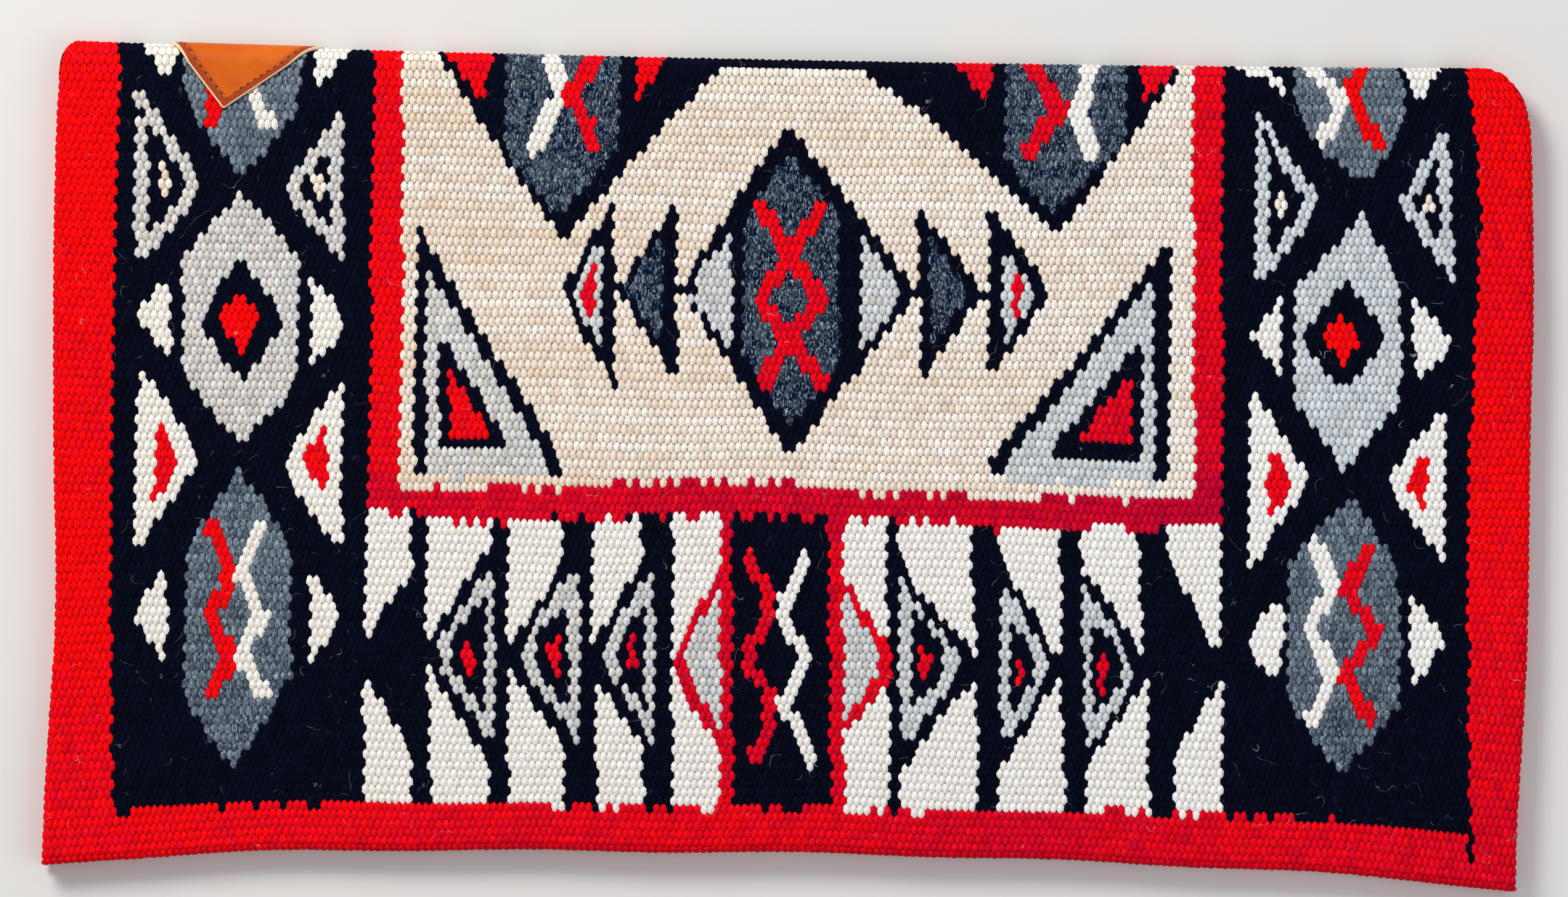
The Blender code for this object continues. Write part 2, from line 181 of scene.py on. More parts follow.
# %% Pattern: grounds, frame and field
area(RED, (-200, -200), (2800, -200), (2800, 1700), (-200, 1700))
area(
    BLACK, (200, 0), (186, 300), (180, 1000), (182, 1315), (260, 1309), (600, 1302), (1100, 1311),
    (1900, 1320), (2100, 1328), (2255, 1339), (2383, 1361), (2385, 1342), (2382, 896), (2383, 767),
    (2390, 652), (2393, 552), (2399, 462), (2402, 347), (2398, 261), (2392, 175), (2375, 112),
    (2370, 0),
)
area(
    RED, (607, 80), (600, 376), (603, 509), (598, 832), (668, 832), (694, 844), (797, 846), (830, 842),
    (1187, 837), (1366, 841), (1574, 848), (1590, 857), (1740, 859), (1890, 857), (1984, 844),
    (1985, 600), (1981, 300), (1984, 110), (1984, 0),
)
area(
    CREAM, (653, 0), (653, 400), (650, 700), (644, 775), (660, 795), (859, 791), (1060, 784),
    (1272, 784), (1348, 797), (1590, 808), (1800, 812), (1938, 806), (1938, 500), (1936, 300),
    (1934, 0),
)
print(len(painted), "painted areas after the grounds")

# %% [markdown]
# The two side panels are a net of black bands. Between the bands sit lozenges in the middle and
# triangles at the sides: plain ones, rings, and ones with a red core. The left panel comes first.

# %% Pattern: left panel
area(WHITE, (239, 30), (239, 78), (276, 135), (285, 100), (289, 70))
area(WHITE, (513, 30), (512, 110), (517, 144), (556, 96), (574, 77))
area(
    CHARCOAL, (302, 0), (298, 140), (322, 198), (392, 287), (440, 236), (482, 176), (495, 90), (494, 0),
)
line(RED, 26, (352, 120), (346, 192))
line(WHITE, 26, (408, 110), (413, 160), (436, 200))
nest(
    (GREY, BLACK), (21,), (219, 150), (232, 150), (290, 232), (329, 296), (290, 360), (252, 398),
    (219, 424),
)
area(CREAM, (262, 260), (279, 298), (260, 326))
nest((GREY, BLACK), (21,), (555, 182), (530, 210), (459, 298), (473, 328), (530, 395), (557, 425))
area(CREAM, (516, 278), (530, 304), (520, 335), (503, 298))
area(
    GREY, (387, 316), (352, 350), (295, 422), (297, 600), (330, 655), (392, 716), (450, 660),
    (481, 619), (485, 418), (435, 355),
)
area(
    BLACK, (387, 418), (429, 470), (461, 523), (430, 570), (395, 617), (350, 570), (326, 519),
    (352, 470),
)
area(RED, (388, 472), (423, 515), (393, 573), (352, 517))
area(WHITE, (274, 446), (278, 578), (245, 545), (219, 513), (246, 478))
area(WHITE, (504, 446), (506, 588), (540, 560), (562, 532), (538, 480))
area(
    WHITE, (226, 598), (240, 610), (288, 680), (321, 743), (290, 800), (250, 850), (219, 895),
    (220, 740),
)
area(RED, (258, 684), (291, 743), (272, 790), (246, 810))
area(WHITE, (556, 615), (554, 893), (480, 800), (459, 750), (500, 686))
area(RED, (528, 692), (534, 760), (524, 808), (505, 770), (490, 745), (510, 710))
area(
    CHARCOAL, (388, 762), (301, 887), (296, 1120), (335, 1190), (375, 1247), (430, 1170), (472, 1098),
    (470, 890), (430, 815),
)
line(RED, 24, (342, 856), (370, 910), (370, 948), (340, 996), (370, 1057), (371, 1079), (344, 1123))
line(WHITE, 24, (419, 858), (389, 926), (424, 1002), (389, 1060), (428, 1127))
area(WHITE, (268, 920), (272, 1000), (266, 1070), (216, 999), (240, 960))
area(WHITE, (498, 920), (530, 960), (553, 999), (530, 1040), (500, 1077), (506, 1000))
print(len(painted), "painted areas after the left panel")

# %% [markdown]
# The right panel has the same figures. Each was woven by eye, so each has corners of its own.

# %% Pattern: right panel
area(WHITE, (2009, 40), (2009, 112), (2044, 120), (2064, 140), (2084, 162), (2080, 130))
area(WHITE, (2274, 106), (2290, 122), (2290, 145), (2302, 168), (2335, 118), (2336, 40))
area(
    CHARCOAL, (2090, 0), (2103, 160), (2116, 214), (2160, 258), (2216, 295), (2262, 240), (2284, 180),
    (2268, 100),
)
line(WHITE, 26, (2118, 96), (2150, 128), (2172, 160), (2168, 196), (2142, 222))
line(RED, 26, (2218, 96), (2195, 140), (2212, 196), (2234, 228))
nest(
    (GREY, BLACK), (20,), (2039, 186), (2052, 190), (2100, 262), (2144, 322), (2130, 350), (2080, 420),
    (2036, 462),
)
area(CREAM, (2078, 305), (2088, 325), (2084, 358), (2070, 356), (2068, 330))
nest((GREY, BLACK), (20,), (2350, 198), (2290, 290), (2270, 330), (2330, 420), (2360, 460))
area(CREAM, (2322, 300), (2328, 330), (2325, 354), (2314, 345), (2308, 326))
area(
    GREY, (2210, 345), (2170, 395), (2101, 465), (2100, 655), (2150, 715), (2178, 762), (2220, 720),
    (2270, 650), (2274, 590), (2272, 470), (2240, 400),
)
area(
    BLACK, (2182, 455), (2222, 500), (2242, 545), (2238, 565), (2210, 600), (2178, 632), (2140, 590),
    (2114, 545),
)
area(RED, (2176, 502), (2200, 540), (2205, 562), (2180, 590), (2142, 546))
area(WHITE, (2080, 480), (2080, 612), (2029, 545), (2045, 520))
area(WHITE, (2293, 478), (2330, 520), (2353, 550), (2348, 570), (2320, 600), (2302, 622), (2293, 560))
area(WHITE, (2031, 632), (2046, 650), (2095, 730), (2128, 775), (2120, 790), (2070, 860), (2026, 930))
area(RED, (2061, 720), (2097, 782), (2080, 815), (2062, 836), (2056, 790))
area(WHITE, (2344, 660), (2342, 915), (2270, 812), (2251, 778), (2290, 720), (2320, 690))
area(RED, (2314, 732), (2320, 780), (2308, 828), (2280, 782), (2296, 745))
area(
    CHARCOAL, (2191, 803), (2145, 850), (2093, 914), (2088, 1000), (2092, 1140), (2135, 1205),
    (2175, 1258), (2272, 1147), (2274, 1030), (2266, 917), (2225, 850),
)
line(WHITE, 24, (2133, 882), (2163, 952), (2127, 1016), (2163, 1099), (2129, 1165))
line(RED, 24, (2219, 893), (2184, 959), (2235, 1026), (2182, 1093), (2223, 1167))
area(WHITE, (2082, 965), (2082, 1040), (2070, 1108), (2040, 1070), (2024, 1040), (2045, 1000))
area(WHITE, (2286, 958), (2320, 1000), (2345, 1043), (2320, 1080), (2292, 1112), (2288, 1040))
print(len(painted), "painted areas after the right panel")

# %% [markdown]
# At the fold the field holds two half lozenges on black, each with a white and a red zigzag.

# %% Pattern: field at the fold
area(
    BLACK, (705, 0), (714, 92), (780, 200), (860, 312), (915, 392), (990, 300), (1075, 205),
    (1172, 107), (1402, 107), (1414, 126), (1500, 185), (1717, 376), (1800, 270), (1870, 175),
    (1908, 125), (1910, 0),
)
area(RED, (724, 0), (726, 86), (784, 168), (800, 84))
area(RED, (1034, 0), (1034, 160), (1083, 92))
area(CHARCOAL, (822, 0), (816, 240), (850, 290), (906, 350), (960, 290), (1006, 235), (1006, 0))
line(WHITE, 28, (886, 60), (906, 120), (908, 160), (880, 205), (866, 238))
line(RED, 28, (978, 60), (956, 105), (928, 150), (950, 200), (962, 238))
area(RED, (1550, 0), (1552, 106), (1603, 165), (1610, 110), (1610, 0))
area(RED, (1848, 110), (1856, 165), (1906, 114), (1910, 0))
area(CHARCOAL, (1632, 0), (1630, 250), (1665, 305), (1711, 345), (1828, 225), (1832, 0))
line(RED, 28, (1652, 60), (1690, 130), (1722, 178), (1690, 215), (1672, 245))
line(WHITE, 28, (1778, 60), (1764, 130), (1750, 178), (1762, 215), (1770, 245))
print(len(painted), "painted areas after the fold")

# %% [markdown]
# In the middle of the field stands a big serrated diamond: a charcoal core with two crossing red
# zigzags, between black bars and grey corners. Smaller triangles flank it.

# %% Pattern: diamond
nest(
    (BLACK, CHARCOAL), (27,), (1278, 201), (1380, 330), (1488, 475), (1390, 600), (1281, 741),
    (1190, 600), (1102, 470), (1190, 330),
)
area(BLACK, (1188, 352), (1206, 332), (1206, 606), (1188, 590))
area(BLACK, (1361, 352), (1379, 332), (1379, 608), (1361, 592))
area(GREY, (1187, 376), (1187, 570), (1112, 475), (1140, 432))
area(BLACK, (1379, 330), (1398, 350), (1398, 600), (1379, 620))
area(GREY, (1398, 378), (1467, 475), (1398, 572))
line(RED, 24, (1236, 334), (1258, 375), (1308, 452), (1335, 484), (1281, 548), (1258, 585), (1240, 620))
line(RED, 24, (1335, 335), (1254, 452), (1234, 492), (1281, 548), (1334, 620))

area(BLACK, (1097, 330), (1099, 624), (1050, 545), (1001, 467))
area(CHARCOAL, (1074, 388), (1074, 556), (1011, 469), (1040, 430))
area(BLACK, (996, 330), (998, 626), (950, 550), (913, 469), (950, 400))
area(GREY, (981, 378), (976, 565), (950, 520), (932, 469), (952, 420))
area(RED, (968, 425), (966, 528), (941, 473), (952, 448))
area(BLACK, (1488, 333), (1496, 615), (1550, 540), (1598, 475))
area(CHARCOAL, (1508, 385), (1512, 562), (1572, 475))
area(BLACK, (1604, 335), (1602, 615), (1660, 540), (1706, 475), (1655, 400))
area(GREY, (1627, 405), (1629, 558), (1660, 515), (1682, 475))
area(RED, (1649, 440), (1641, 468), (1643, 490), (1650, 512), (1657, 490), (1657, 466))
for joint_from, joint_to, joint_y in (
    (1086, 1120, 470), (985, 1010, 470), (1470, 1500, 475), (1585, 1612, 475),
):
    line(BLACK, 17, (joint_from, joint_y), (joint_to, joint_y))
print(len(painted), "painted areas after the diamond")

# %% [markdown]
# In the lower corners of the field stand two triangles, each filled with plain nested ones.

# %% Pattern: corners of the field
area(
    BLACK, (679, 368), (700, 400), (742, 478), (822, 600), (872, 680), (912, 750), (912, 766),
    (672, 762), (674, 500),
)
area(GREY, (692, 432), (858, 694), (892, 770), (690, 770))
area(BLACK, (712, 540), (772, 632), (828, 724), (712, 724))
area(RED, (729, 600), (765, 652), (797, 707), (729, 707))
area(BLACK, (1899, 388), (1740, 590), (1606, 745), (1610, 766), (1896, 776))
area(GREY, (1873, 448), (1752, 606), (1630, 752), (1632, 784), (1873, 784))
area(BLACK, (1852, 552), (1780, 640), (1706, 728), (1706, 738), (1852, 744))
area(RED, (1835, 604), (1785, 665), (1748, 718), (1835, 726))
print(len(painted), "painted areas after the corners")

# %% [markdown]
# The band below the frame is black, with white figures on it. They leave room for pointed eyes.

# %% Pattern: white figures of the band
area(WHITE, (596, 833), (666, 833), (668, 929), (631, 976), (605, 1032), (591, 1034))
area(WHITE, (591, 1097), (627, 1150), (667, 1222), (662, 1330), (593, 1330), (588, 1110))
area(WHITE, (694, 842), (797, 845), (797, 891), (774, 914), (698, 1034), (692, 1025))
area(
    WHITE, (694, 1083), (716, 1115), (743, 1159), (774, 1208), (792, 1231), (797, 1330), (703, 1330),
    (696, 1222),
)
area(WHITE, (826, 843), (910, 843), (912, 914), (881, 967), (828, 1048), (820, 1048))
area(WHITE, (823, 1083), (850, 1115), (881, 1164), (915, 1204), (917, 1330), (826, 1330), (822, 1088))
area(WHITE, (960, 841), (1040, 840), (1042, 912), (1015, 954), (964, 1045), (959, 1045))
area(
    WHITE, (966, 1106), (989, 1133), (1015, 1173), (1044, 1213), (1044, 1330), (975, 1330), (968, 1249),
    (964, 1110),
)
area(WHITE, (1091, 838), (1172, 838), (1172, 1330), (1093, 1330), (1090, 1222))
area(WHITE, (1366, 842), (1439, 842), (1441, 1106), (1446, 1208), (1439, 1330), (1366, 1330))
area(WHITE, (1458, 843), (1574, 849), (1584, 1062), (1531, 1004), (1492, 961), (1468, 917), (1458, 883))
area(
    WHITE, (1584, 1101), (1587, 1330), (1458, 1330), (1461, 1251), (1492, 1213), (1531, 1159),
    (1565, 1121),
)
area(
    WHITE, (1618, 857), (1720, 858), (1722, 1072), (1705, 1053), (1686, 1009), (1628, 917), (1618, 893),
)
area(
    WHITE, (1720, 1096), (1730, 1330), (1616, 1330), (1618, 1251), (1652, 1208), (1686, 1154),
    (1710, 1106),
)
area(
    WHITE, (1751, 858), (1846, 857), (1856, 1074), (1841, 1053), (1822, 1009), (1759, 927), (1751, 898),
)
area(WHITE, (1863, 1099), (1865, 1330), (1764, 1330), (1761, 1251), (1788, 1208))
area(WHITE, (1894, 856), (1982, 846), (1982, 1062), (1967, 1048), (1948, 999), (1919, 956), (1899, 912))
area(WHITE, (1982, 1113), (1984, 1330), (1907, 1330), (1904, 1227), (1928, 1188), (1957, 1140))
print(len(painted), "painted areas after the white figures")

# %% [markdown]
# Six eyes point away from the middle of the band. Each is a grey ring with a red core on black.

# %% Pattern: eyes of the band
area(
    GREY, (801, 923), (770, 954), (739, 999), (714, 1039), (711, 1061), (716, 1088), (774, 1168),
    (799, 1208), (803, 1206),
)
area(BLACK, (787, 967), (743, 1021), (732, 1048), (731, 1070), (743, 1097), (781, 1150), (787, 1150))
area(RED, (766, 1034), (770, 1101), (763, 1099), (750, 1070), (747, 1043))
area(
    GREY, (939, 923), (917, 936), (864, 1012), (846, 1052), (846, 1074), (868, 1110), (895, 1150),
    (917, 1177), (941, 1210), (941, 1000),
)
area(
    BLACK, (922, 981), (899, 999), (879, 1021), (868, 1048), (868, 1074), (881, 1101), (917, 1146),
    (922, 1146),
)
area(RED, (906, 1034), (910, 1099), (901, 1097), (886, 1074), (890, 1043))
area(
    GREY, (1060, 923), (1038, 945), (993, 1025), (980, 1065), (989, 1097), (1011, 1124), (1033, 1159),
    (1056, 1208), (1062, 1204),
)
area(
    BLACK, (1047, 972), (1006, 1039), (1000, 1070), (1006, 1101), (1029, 1128), (1040, 1150),
    (1047, 1150),
)
area(RED, (1029, 1030), (1034, 1070), (1034, 1106), (1016, 1070), (1022, 1039))
area(
    GREY, (1463, 939), (1458, 965), (1459, 1111), (1465, 1215), (1492, 1179), (1531, 1130),
    (1558, 1091), (1558, 1062), (1531, 1028), (1502, 999), (1478, 965),
)
area(BLACK, (1478, 990), (1480, 1145), (1502, 1130), (1526, 1096), (1528, 1048), (1502, 1014))
area(RED, (1492, 1048), (1504, 1053), (1516, 1077), (1504, 1101), (1494, 1108), (1491, 1082))
area(
    GREY, (1621, 944), (1624, 1033), (1621, 1111), (1628, 1205), (1657, 1169), (1686, 1130),
    (1700, 1091), (1700, 1062), (1676, 1024), (1652, 980),
)
area(BLACK, (1640, 1014), (1638, 1154), (1657, 1140), (1676, 1106), (1679, 1062), (1657, 1024))
area(RED, (1654, 1056), (1664, 1082), (1658, 1120), (1650, 1111), (1648, 1067))
area(
    GREY, (1759, 946), (1756, 1014), (1759, 1091), (1758, 1159), (1764, 1215), (1793, 1179),
    (1822, 1140), (1839, 1101), (1836, 1072), (1812, 1024), (1783, 985),
)
area(BLACK, (1771, 1014), (1773, 1159), (1797, 1140), (1819, 1106), (1819, 1067), (1797, 1028))
area(RED, (1788, 1056), (1800, 1091), (1788, 1132), (1779, 1106), (1779, 1072))
print(len(painted), "painted areas after the eyes")

# %% [markdown]
# The middle of the band is a black square with two zigzags between red bars and half lozenges. The
# red border of the free end covers whatever reaches below the band.

# %% Pattern: middle of the band and end border
area(BLACK, (1186, 838), (1343, 838), (1345, 1315), (1186, 1315))
area(
    RED, (1169, 932), (1136, 981), (1109, 1030), (1091, 1068), (1114, 1133), (1140, 1173), (1168, 1213),
)
area(GREY, (1169, 960), (1138, 1004), (1111, 1057), (1114, 1083), (1140, 1135), (1169, 1186))
area(RED, (1366, 932), (1434, 1038), (1445, 1066), (1443, 1106), (1371, 1195))
area(GREY, (1366, 950), (1398, 1010), (1427, 1060), (1426, 1088), (1396, 1134), (1369, 1176))
area(RED, (1168, 800), (1188, 800), (1189, 1330), (1170, 1330))
area(RED, (1342, 800), (1365, 800), (1371, 1330), (1349, 1330))
line(
    RED, 21, (1214, 905), (1239, 949), (1250, 999), (1216, 1052), (1212, 1079), (1250, 1124),
    (1247, 1177), (1221, 1230),
)
line(
    WHITE, 21, (1303, 908), (1303, 929), (1269, 975), (1276, 1014), (1303, 1058), (1303, 1084),
    (1269, 1140), (1293, 1179), (1317, 1234),
)
area(
    RED, (560, 1300), (830, 1307), (1350, 1314), (1600, 1316), (1900, 1320), (2040, 1326), (2040, 1500),
    (560, 1500),
)
# A thin black line at the lower right is painted shade: the dark inside a slit in the weave there.
line(BLACK, 9, (2386, 1355), (2386, 1402))
print(len(painted), "painted areas")


# %% [markdown]
# Reading the painting is a question asked of each bead: which is the last area that its middle lies
# in? A point is inside an outline if a line from it to the right crosses the outline an odd number of
# times, and it is on a zigzag if it is nearer to it than half its width.

# %% Read the painting
def inside(corners, px, py):
    """True for the points that lie inside an outline."""
    found = np.zeros(px.shape, bool)
    for (ax, ay), (bx, by) in zip(corners, np.roll(corners, -1, 0)):
        if ay == by:
            continue
        crosses = (ay > py) != (by > py)
        found ^= crosses & (px < ax + (py - ay) * (bx - ax) / (by - ay))
    return found


def near(points, width, px, py):
    """True for the points within half a width of a zigzag."""
    found = np.zeros(px.shape, bool)
    for (ax, ay), (bx, by) in zip(points[:-1], points[1:]):
        length = (bx - ax) ** 2 + (by - ay) ** 2
        along = np.clip(((px - ax) * (bx - ax) + (py - ay) * (by - ay)) / length, 0, 1)
        found |= np.hypot(px - ax - along * (bx - ax), py - ay - along * (by - ay)) < width / 2
    return found


def yarn_at(px, py):
    """The yarn that the painting shows at each point."""
    yarn = np.full(px.shape, RED)
    for colour, points, width in painted:
        hit = inside(points, px, py) if width is None else near(points, width, px, py)
        yarn[hit] = colour
    return yarn


print("corners of all the areas:", sum(len(points) for _, points, _ in painted))

# %% [markdown]
# The cloth as a smooth sheet, before it gets its beads. It isn't a perfect rectangle: its sides are
# pulled in beside the fold and sway by a few millimetres below it. At an outer edge the face runs
# round a half circle to the other face. All the layers share these formulas, so they stay nested.

# %% Sides of the sheet
DRAW_IN = {-1: (0.009, 0.006), 1: (0.030, 0.0125)}
SWAY = {
    -1: ((0.325, 0.07, 0.0036), (0.060, 0.14, -0.0046)),
    1: ((0.460, 0.09, 0.0065), (0.125, 0.06, -0.0015)),
}
RIM_ANGLE = math.radians(84)
RIM_LENGTH = HALF_CLOTH * RIM_ANGLE
HALF_SPAN = EDGE - HALF_CLOTH + RIM_LENGTH


def smooth(value):
    """A soft step from 0 to 1."""
    value = np.clip(value, 0, 1)
    return value * value * (3 - 2 * value)


def round_edge(distance, limit):
    """A distance along the face as a distance along the flat and the angle turned at the edge."""
    angle = np.clip(np.abs(distance) - (limit - HALF_CLOTH), 0, None) / HALF_CLOTH
    flat = np.minimum(np.abs(distance), limit - HALF_CLOTH) + HALF_CLOTH * np.sin(angle)
    return flat, angle


def across(s, from_crest, u):
    """The place across the blanket of a distance s along the face, and the angle of the edge there."""
    x, angle = round_edge(s, EDGE)
    side = np.where(s < 0, -1, 1)
    pull = np.zeros(np.shape(x))
    for sign in (-1, 1):
        depth, reach = DRAW_IN[sign]
        inset = depth * np.exp(-from_crest / reach)
        for middle, spread, amount in SWAY[sign]:
            inset = inset + amount * np.exp(-(((u - middle) / spread) ** 2))
        pull = np.where(side == sign, inset, pull)
    share = np.clip((x - PANEL_OUTER + 0.03) / (EDGE - PANEL_OUTER + 0.03), 0, 1)
    return side * (x - pull * share), angle


print("sheet is", round(2 * HALF_SPAN, 4), "m round its face")

# %% [markdown]
# The free end sags towards its corners, the rows wander by a millimetre, and the top lies in low
# waves. Each of these is one small formula that fades out before it reaches the fold.

# %% Sag and waves
END_LIFT, END_DROP, END_CURVE = 0.0076, 0.0156, 3.2
END_START = 0.25
WAVE_HEIGHT, ROW_WANDER = 0.0010, 0.0011
CALM = 0.03


def end_shift(x, u):
    """How far the cloth sags past its own length near the free end."""
    shift = END_DROP * (np.abs(x) / EDGE) ** END_CURVE - END_LIFT
    return shift * np.clip((u - END_START) / (FREE_END - END_START), 0, 1) ** 2


def wander(x, u):
    """How far a row strays from its straight line."""
    calm = smooth((u - CALM) / CALM)
    return ROW_WANDER * calm * (np.sin(x * 17 + 1.1) * np.cos(u * 9) + 0.6 * np.sin(x * 41 + u * 23))


def wave(x, u):
    """How far the top of the cloth rises or falls."""
    calm = smooth((u - CALM) / (2 * CALM))
    return WAVE_HEIGHT * calm * (np.sin(x * 11 + u * 5) + 0.7 * np.sin(x * 6 - u * 19 + 2) - 0.5)


print("free end sags from", -END_LIFT, "to", round(END_DROP - END_LIFT, 4), "m")

# %% [markdown]
# Put together, these give any point of a half from a distance s across its face, a distance t along
# it, and how deep the point lies in the cloth.

# %% A point of one half
def on_half(half, s, t, depth, relief):
    """A point of one half. The depth is measured from the outer face, the relief from the bead tops."""
    flat, end_angle = round_edge(t, FREE_END)
    x, side_angle = across(s, t + QUARTER_ROLL, t)
    u = flat - np.sin(end_angle) * relief
    x = x - np.where(s < 0, -1, 1) * np.sin(side_angle) * relief
    u = u + end_shift(x, u) + wander(x, u)
    outward = 1 if half == "upper" else -1
    turned = np.cos(end_angle) * np.cos(side_angle)
    z = MIDDLE[half] + outward * (HALF_CLOTH - depth) * turned
    z = z + wave(x, u) * z / ROLL_TOP
    return np.stack([x, ROLL_Y - u, z], -1)


print("middle of the upper half:", on_half("upper", 0.0, FREE_END / 2, 0.0, 0.0).round(4).tolist())

# %% [markdown]
# A square patch of leather lies cornerwise over the fold and presses the wool down. Its outline is
# given by v, the distance from the crest of the roll, which is positive on the upper half. It is
# needed before the wool is made, because the beads under it are flattened. The blanket lies on the
# lower corner of the leather, so there it is pressed in flush with the wool.

# %% The outline of the leather
PATCH_LEFT, PATCH_RIGHT = -0.3712, -0.2790
PATCH_REACH = 0.0421
PATCH_SKEW = 0.0129
PATCH_CORNER = 0.0012
LEATHER = 0.0024
PROUD, RESTING = 0.0009, -0.0002
RESTING_FROM, RESTING_OVER = 0.007, 0.006
PRESS_SLOPE = 0.003


def patch_row(v):
    """The middle and the half width of the leather at a distance from the crest."""
    gone = np.sqrt(v * v + PATCH_CORNER**2) / PATCH_REACH
    middle = (PATCH_LEFT + PATCH_RIGHT) / 2 - PATCH_SKEW * v / PATCH_REACH
    return middle, (PATCH_RIGHT - PATCH_LEFT) / 2 * (1 - gone)


def proud(v):
    """How far the leather stands out of the wool."""
    return PROUD - (PROUD - RESTING) * smooth((-v - RESTING_FROM) / RESTING_OVER)


def pressed(x, v):
    """How far the leather presses the wool down."""
    middle, half_width = patch_row(v)
    inside = half_width - np.abs(x - middle)
    return (LEATHER - proud(v)) * smooth(inside / PRESS_SLOPE + 0.5)


print("leather reaches", PATCH_REACH, "m past the crest")

# %% [markdown]
# The beads. The face is a fine grid with four steps across a bead and two or three steps along it.
# Beads in the next row are shifted by half a bead, like bricks, and the line between two rows zigzags
# round their rounded ends. So a grid whose rows are bent into that zigzag has an edge round every
# bead, and a bead can take its own colour without a jagged border. The lower half has fewer steps,
# because less of it shows.

# %% Sizes of the beads
COLUMNS = 220
STEPS = 4
ROWS = 89
FOLD_ROWS = 8
FOLD_STEPS = 3
STEP = 2 * HALF_SPAN / (COLUMNS * STEPS)
FOLD_STEP = math.pi * ROLL_RADIUS / 16
SEAM = 4 * FOLD_STEP
RIM_END = FREE_END - HALF_CLOTH + RIM_LENGTH
ROW = (RIM_END - SEAM) / ROWS
TOOTH = 0.0011
RELIEF = 0.0016
BEAD_PROFILE = np.array([0.22, 0.86, 1.0, 0.86])
TIP_PROFILE = np.array([0.0, 0.30, 0.0, 0.30])
TOOTH_PROFILE = np.array([1.0, 0.0, -1.0, 0.0])
SLIDE, STRAY, LOW = 0.00016, 0.00022, 0.00035
WIDTH_SHARE, TIP_SHARE = 0.86, 0.8
STEPS_ALONG = {"upper": 3, "lower": 2}
print(COLUMNS, "beads across,", ROWS, "rows of", round(ROW * 1000, 2), "mm in each half")

# %% [markdown]
# One face of cloth is kept as a class, because its rows, its small chances and the shape of its beads
# belong together. Chance slides each grid point a little, and sinks some beads deeper than others.

# %% Rows of beads
class Weave:
    """One face of cloth: its rows of beads, and the small chance in each of them."""

    def __init__(self, rows, steps, row_length, first_shift, seed):
        chance = np.random.default_rng(seed)
        shape = (rows * steps + 1, COLUMNS * STEPS + 1)
        self.rows, self.steps, self.row_length = rows, steps, row_length
        self.first_shift = first_shift
        self.slide = chance.standard_normal(shape).clip(-2, 2) * SLIDE
        self.stray = chance.standard_normal(shape).clip(-2, 2) * STRAY
        self.slide[0] = self.slide[-1] = self.stray[0] = self.stray[-1] = 0
        self.low = chance.random((rows, COLUMNS + 1)) * LOW
        self.fleck = chance.random((rows, COLUMNS + 1))

    def bead_of(self, i, j):
        """The row and column of the bead that a step of the grid belongs to."""
        row = np.clip(j // self.steps, 0, self.rows - 1)
        shift = (row + self.first_shift) % 2
        return row, np.clip((i - 2 * shift) // STEPS + shift, 0, COLUMNS), shift

    def tooth(self, i, j):
        """How far the zigzag of the row ends moves a grid point, and its place in its bead."""
        share = (j % self.steps) / self.steps
        shift = (j // self.steps + self.first_shift) % 2
        place = (i - 2 * shift) % STEPS
        return TOOTH * TOOTH_PROFILE[place] * (1 - 2 * share), place, share == 0

    def shape(self, i, j):
        """How far each grid point slides across, strays along and sinks in."""
        i_in = np.clip(i, 0, COLUMNS * STEPS)
        j_in = np.clip(j, 0, self.rows * self.steps)
        tooth, place, at_tip = self.tooth(i, j)
        height = np.where(at_tip, TIP_PROFILE[place], BEAD_PROFILE[place])
        row, column, _ = self.bead_of(i_in, j_in)
        sink = RELIEF * (1 - height) + self.low[row, column] * height
        return self.slide[j_in, i_in], self.stray[j_in, i_in] + tooth, sink

    def within(self, i, j, row, column, shift):
        """Where grid points lie in a bead, as shares of its half width and half length."""
        middle = STEPS * (column - shift) + 2 * shift + 2
        along = (j / self.steps - row - 0.5) * self.row_length + self.tooth(i, j)[0]
        return WIDTH_SHARE * (i - middle) / 2, along / (self.row_length / 2 + TIP_SHARE * TOOTH)

    def middles(self):
        """The grid step at the middle of each bead."""
        row, column = np.mgrid[0 : self.rows, 0 : COLUMNS + 1]
        shift = (row + self.first_shift) % 2
        i = np.clip(STEPS * (column - shift) + 2 * shift + 2, 0, COLUMNS * STEPS)
        return i, (row + 0.5) * self.steps


print("beads stand", RELIEF, "m high, less up to", LOW, "m by chance")

# %% [markdown]
# Each bead gets two numbers: its yarn, and its dye, which is how far the yarn leans from its first
# shade to its second. The dyes drift over the photograph. Red goes from scarlet at the upper left to
# crimson at the lower right, and more so in the frame and its rail. The lean to the right and
# downwards is partly a real change of dye and partly painted shade, darker away from the light at the
# upper left. Cream runs in streaks, grey turns from cool to warm, and charcoal is darkest in the
# field. Chance adds a little to each bead.

# %% Dyes and painted shading
BETWEEN_PANELS = (560, 2000)
RAIL_ROWS = (770, 880)
LOW_PANEL, LOW_FIELD, END_BORDER = 600, 320, 1290
CHANCE_RED, CHANCE = 0.4, 0.5
RAGGED = 13


def between(value, limits):
    """True where a value lies between two limits."""
    return (value > limits[0]) & (value < limits[1])


def blotch(x, y, size):
    """Soft patches between 0 and 1, a few sizes wide."""
    one = np.sin(x / size + 1.7 * np.sin(y / size * 0.7))
    other = np.sin(y / size * 1.3 - x / size * 0.6 + 2)
    return 0.5 + 0.25 * (one + other)


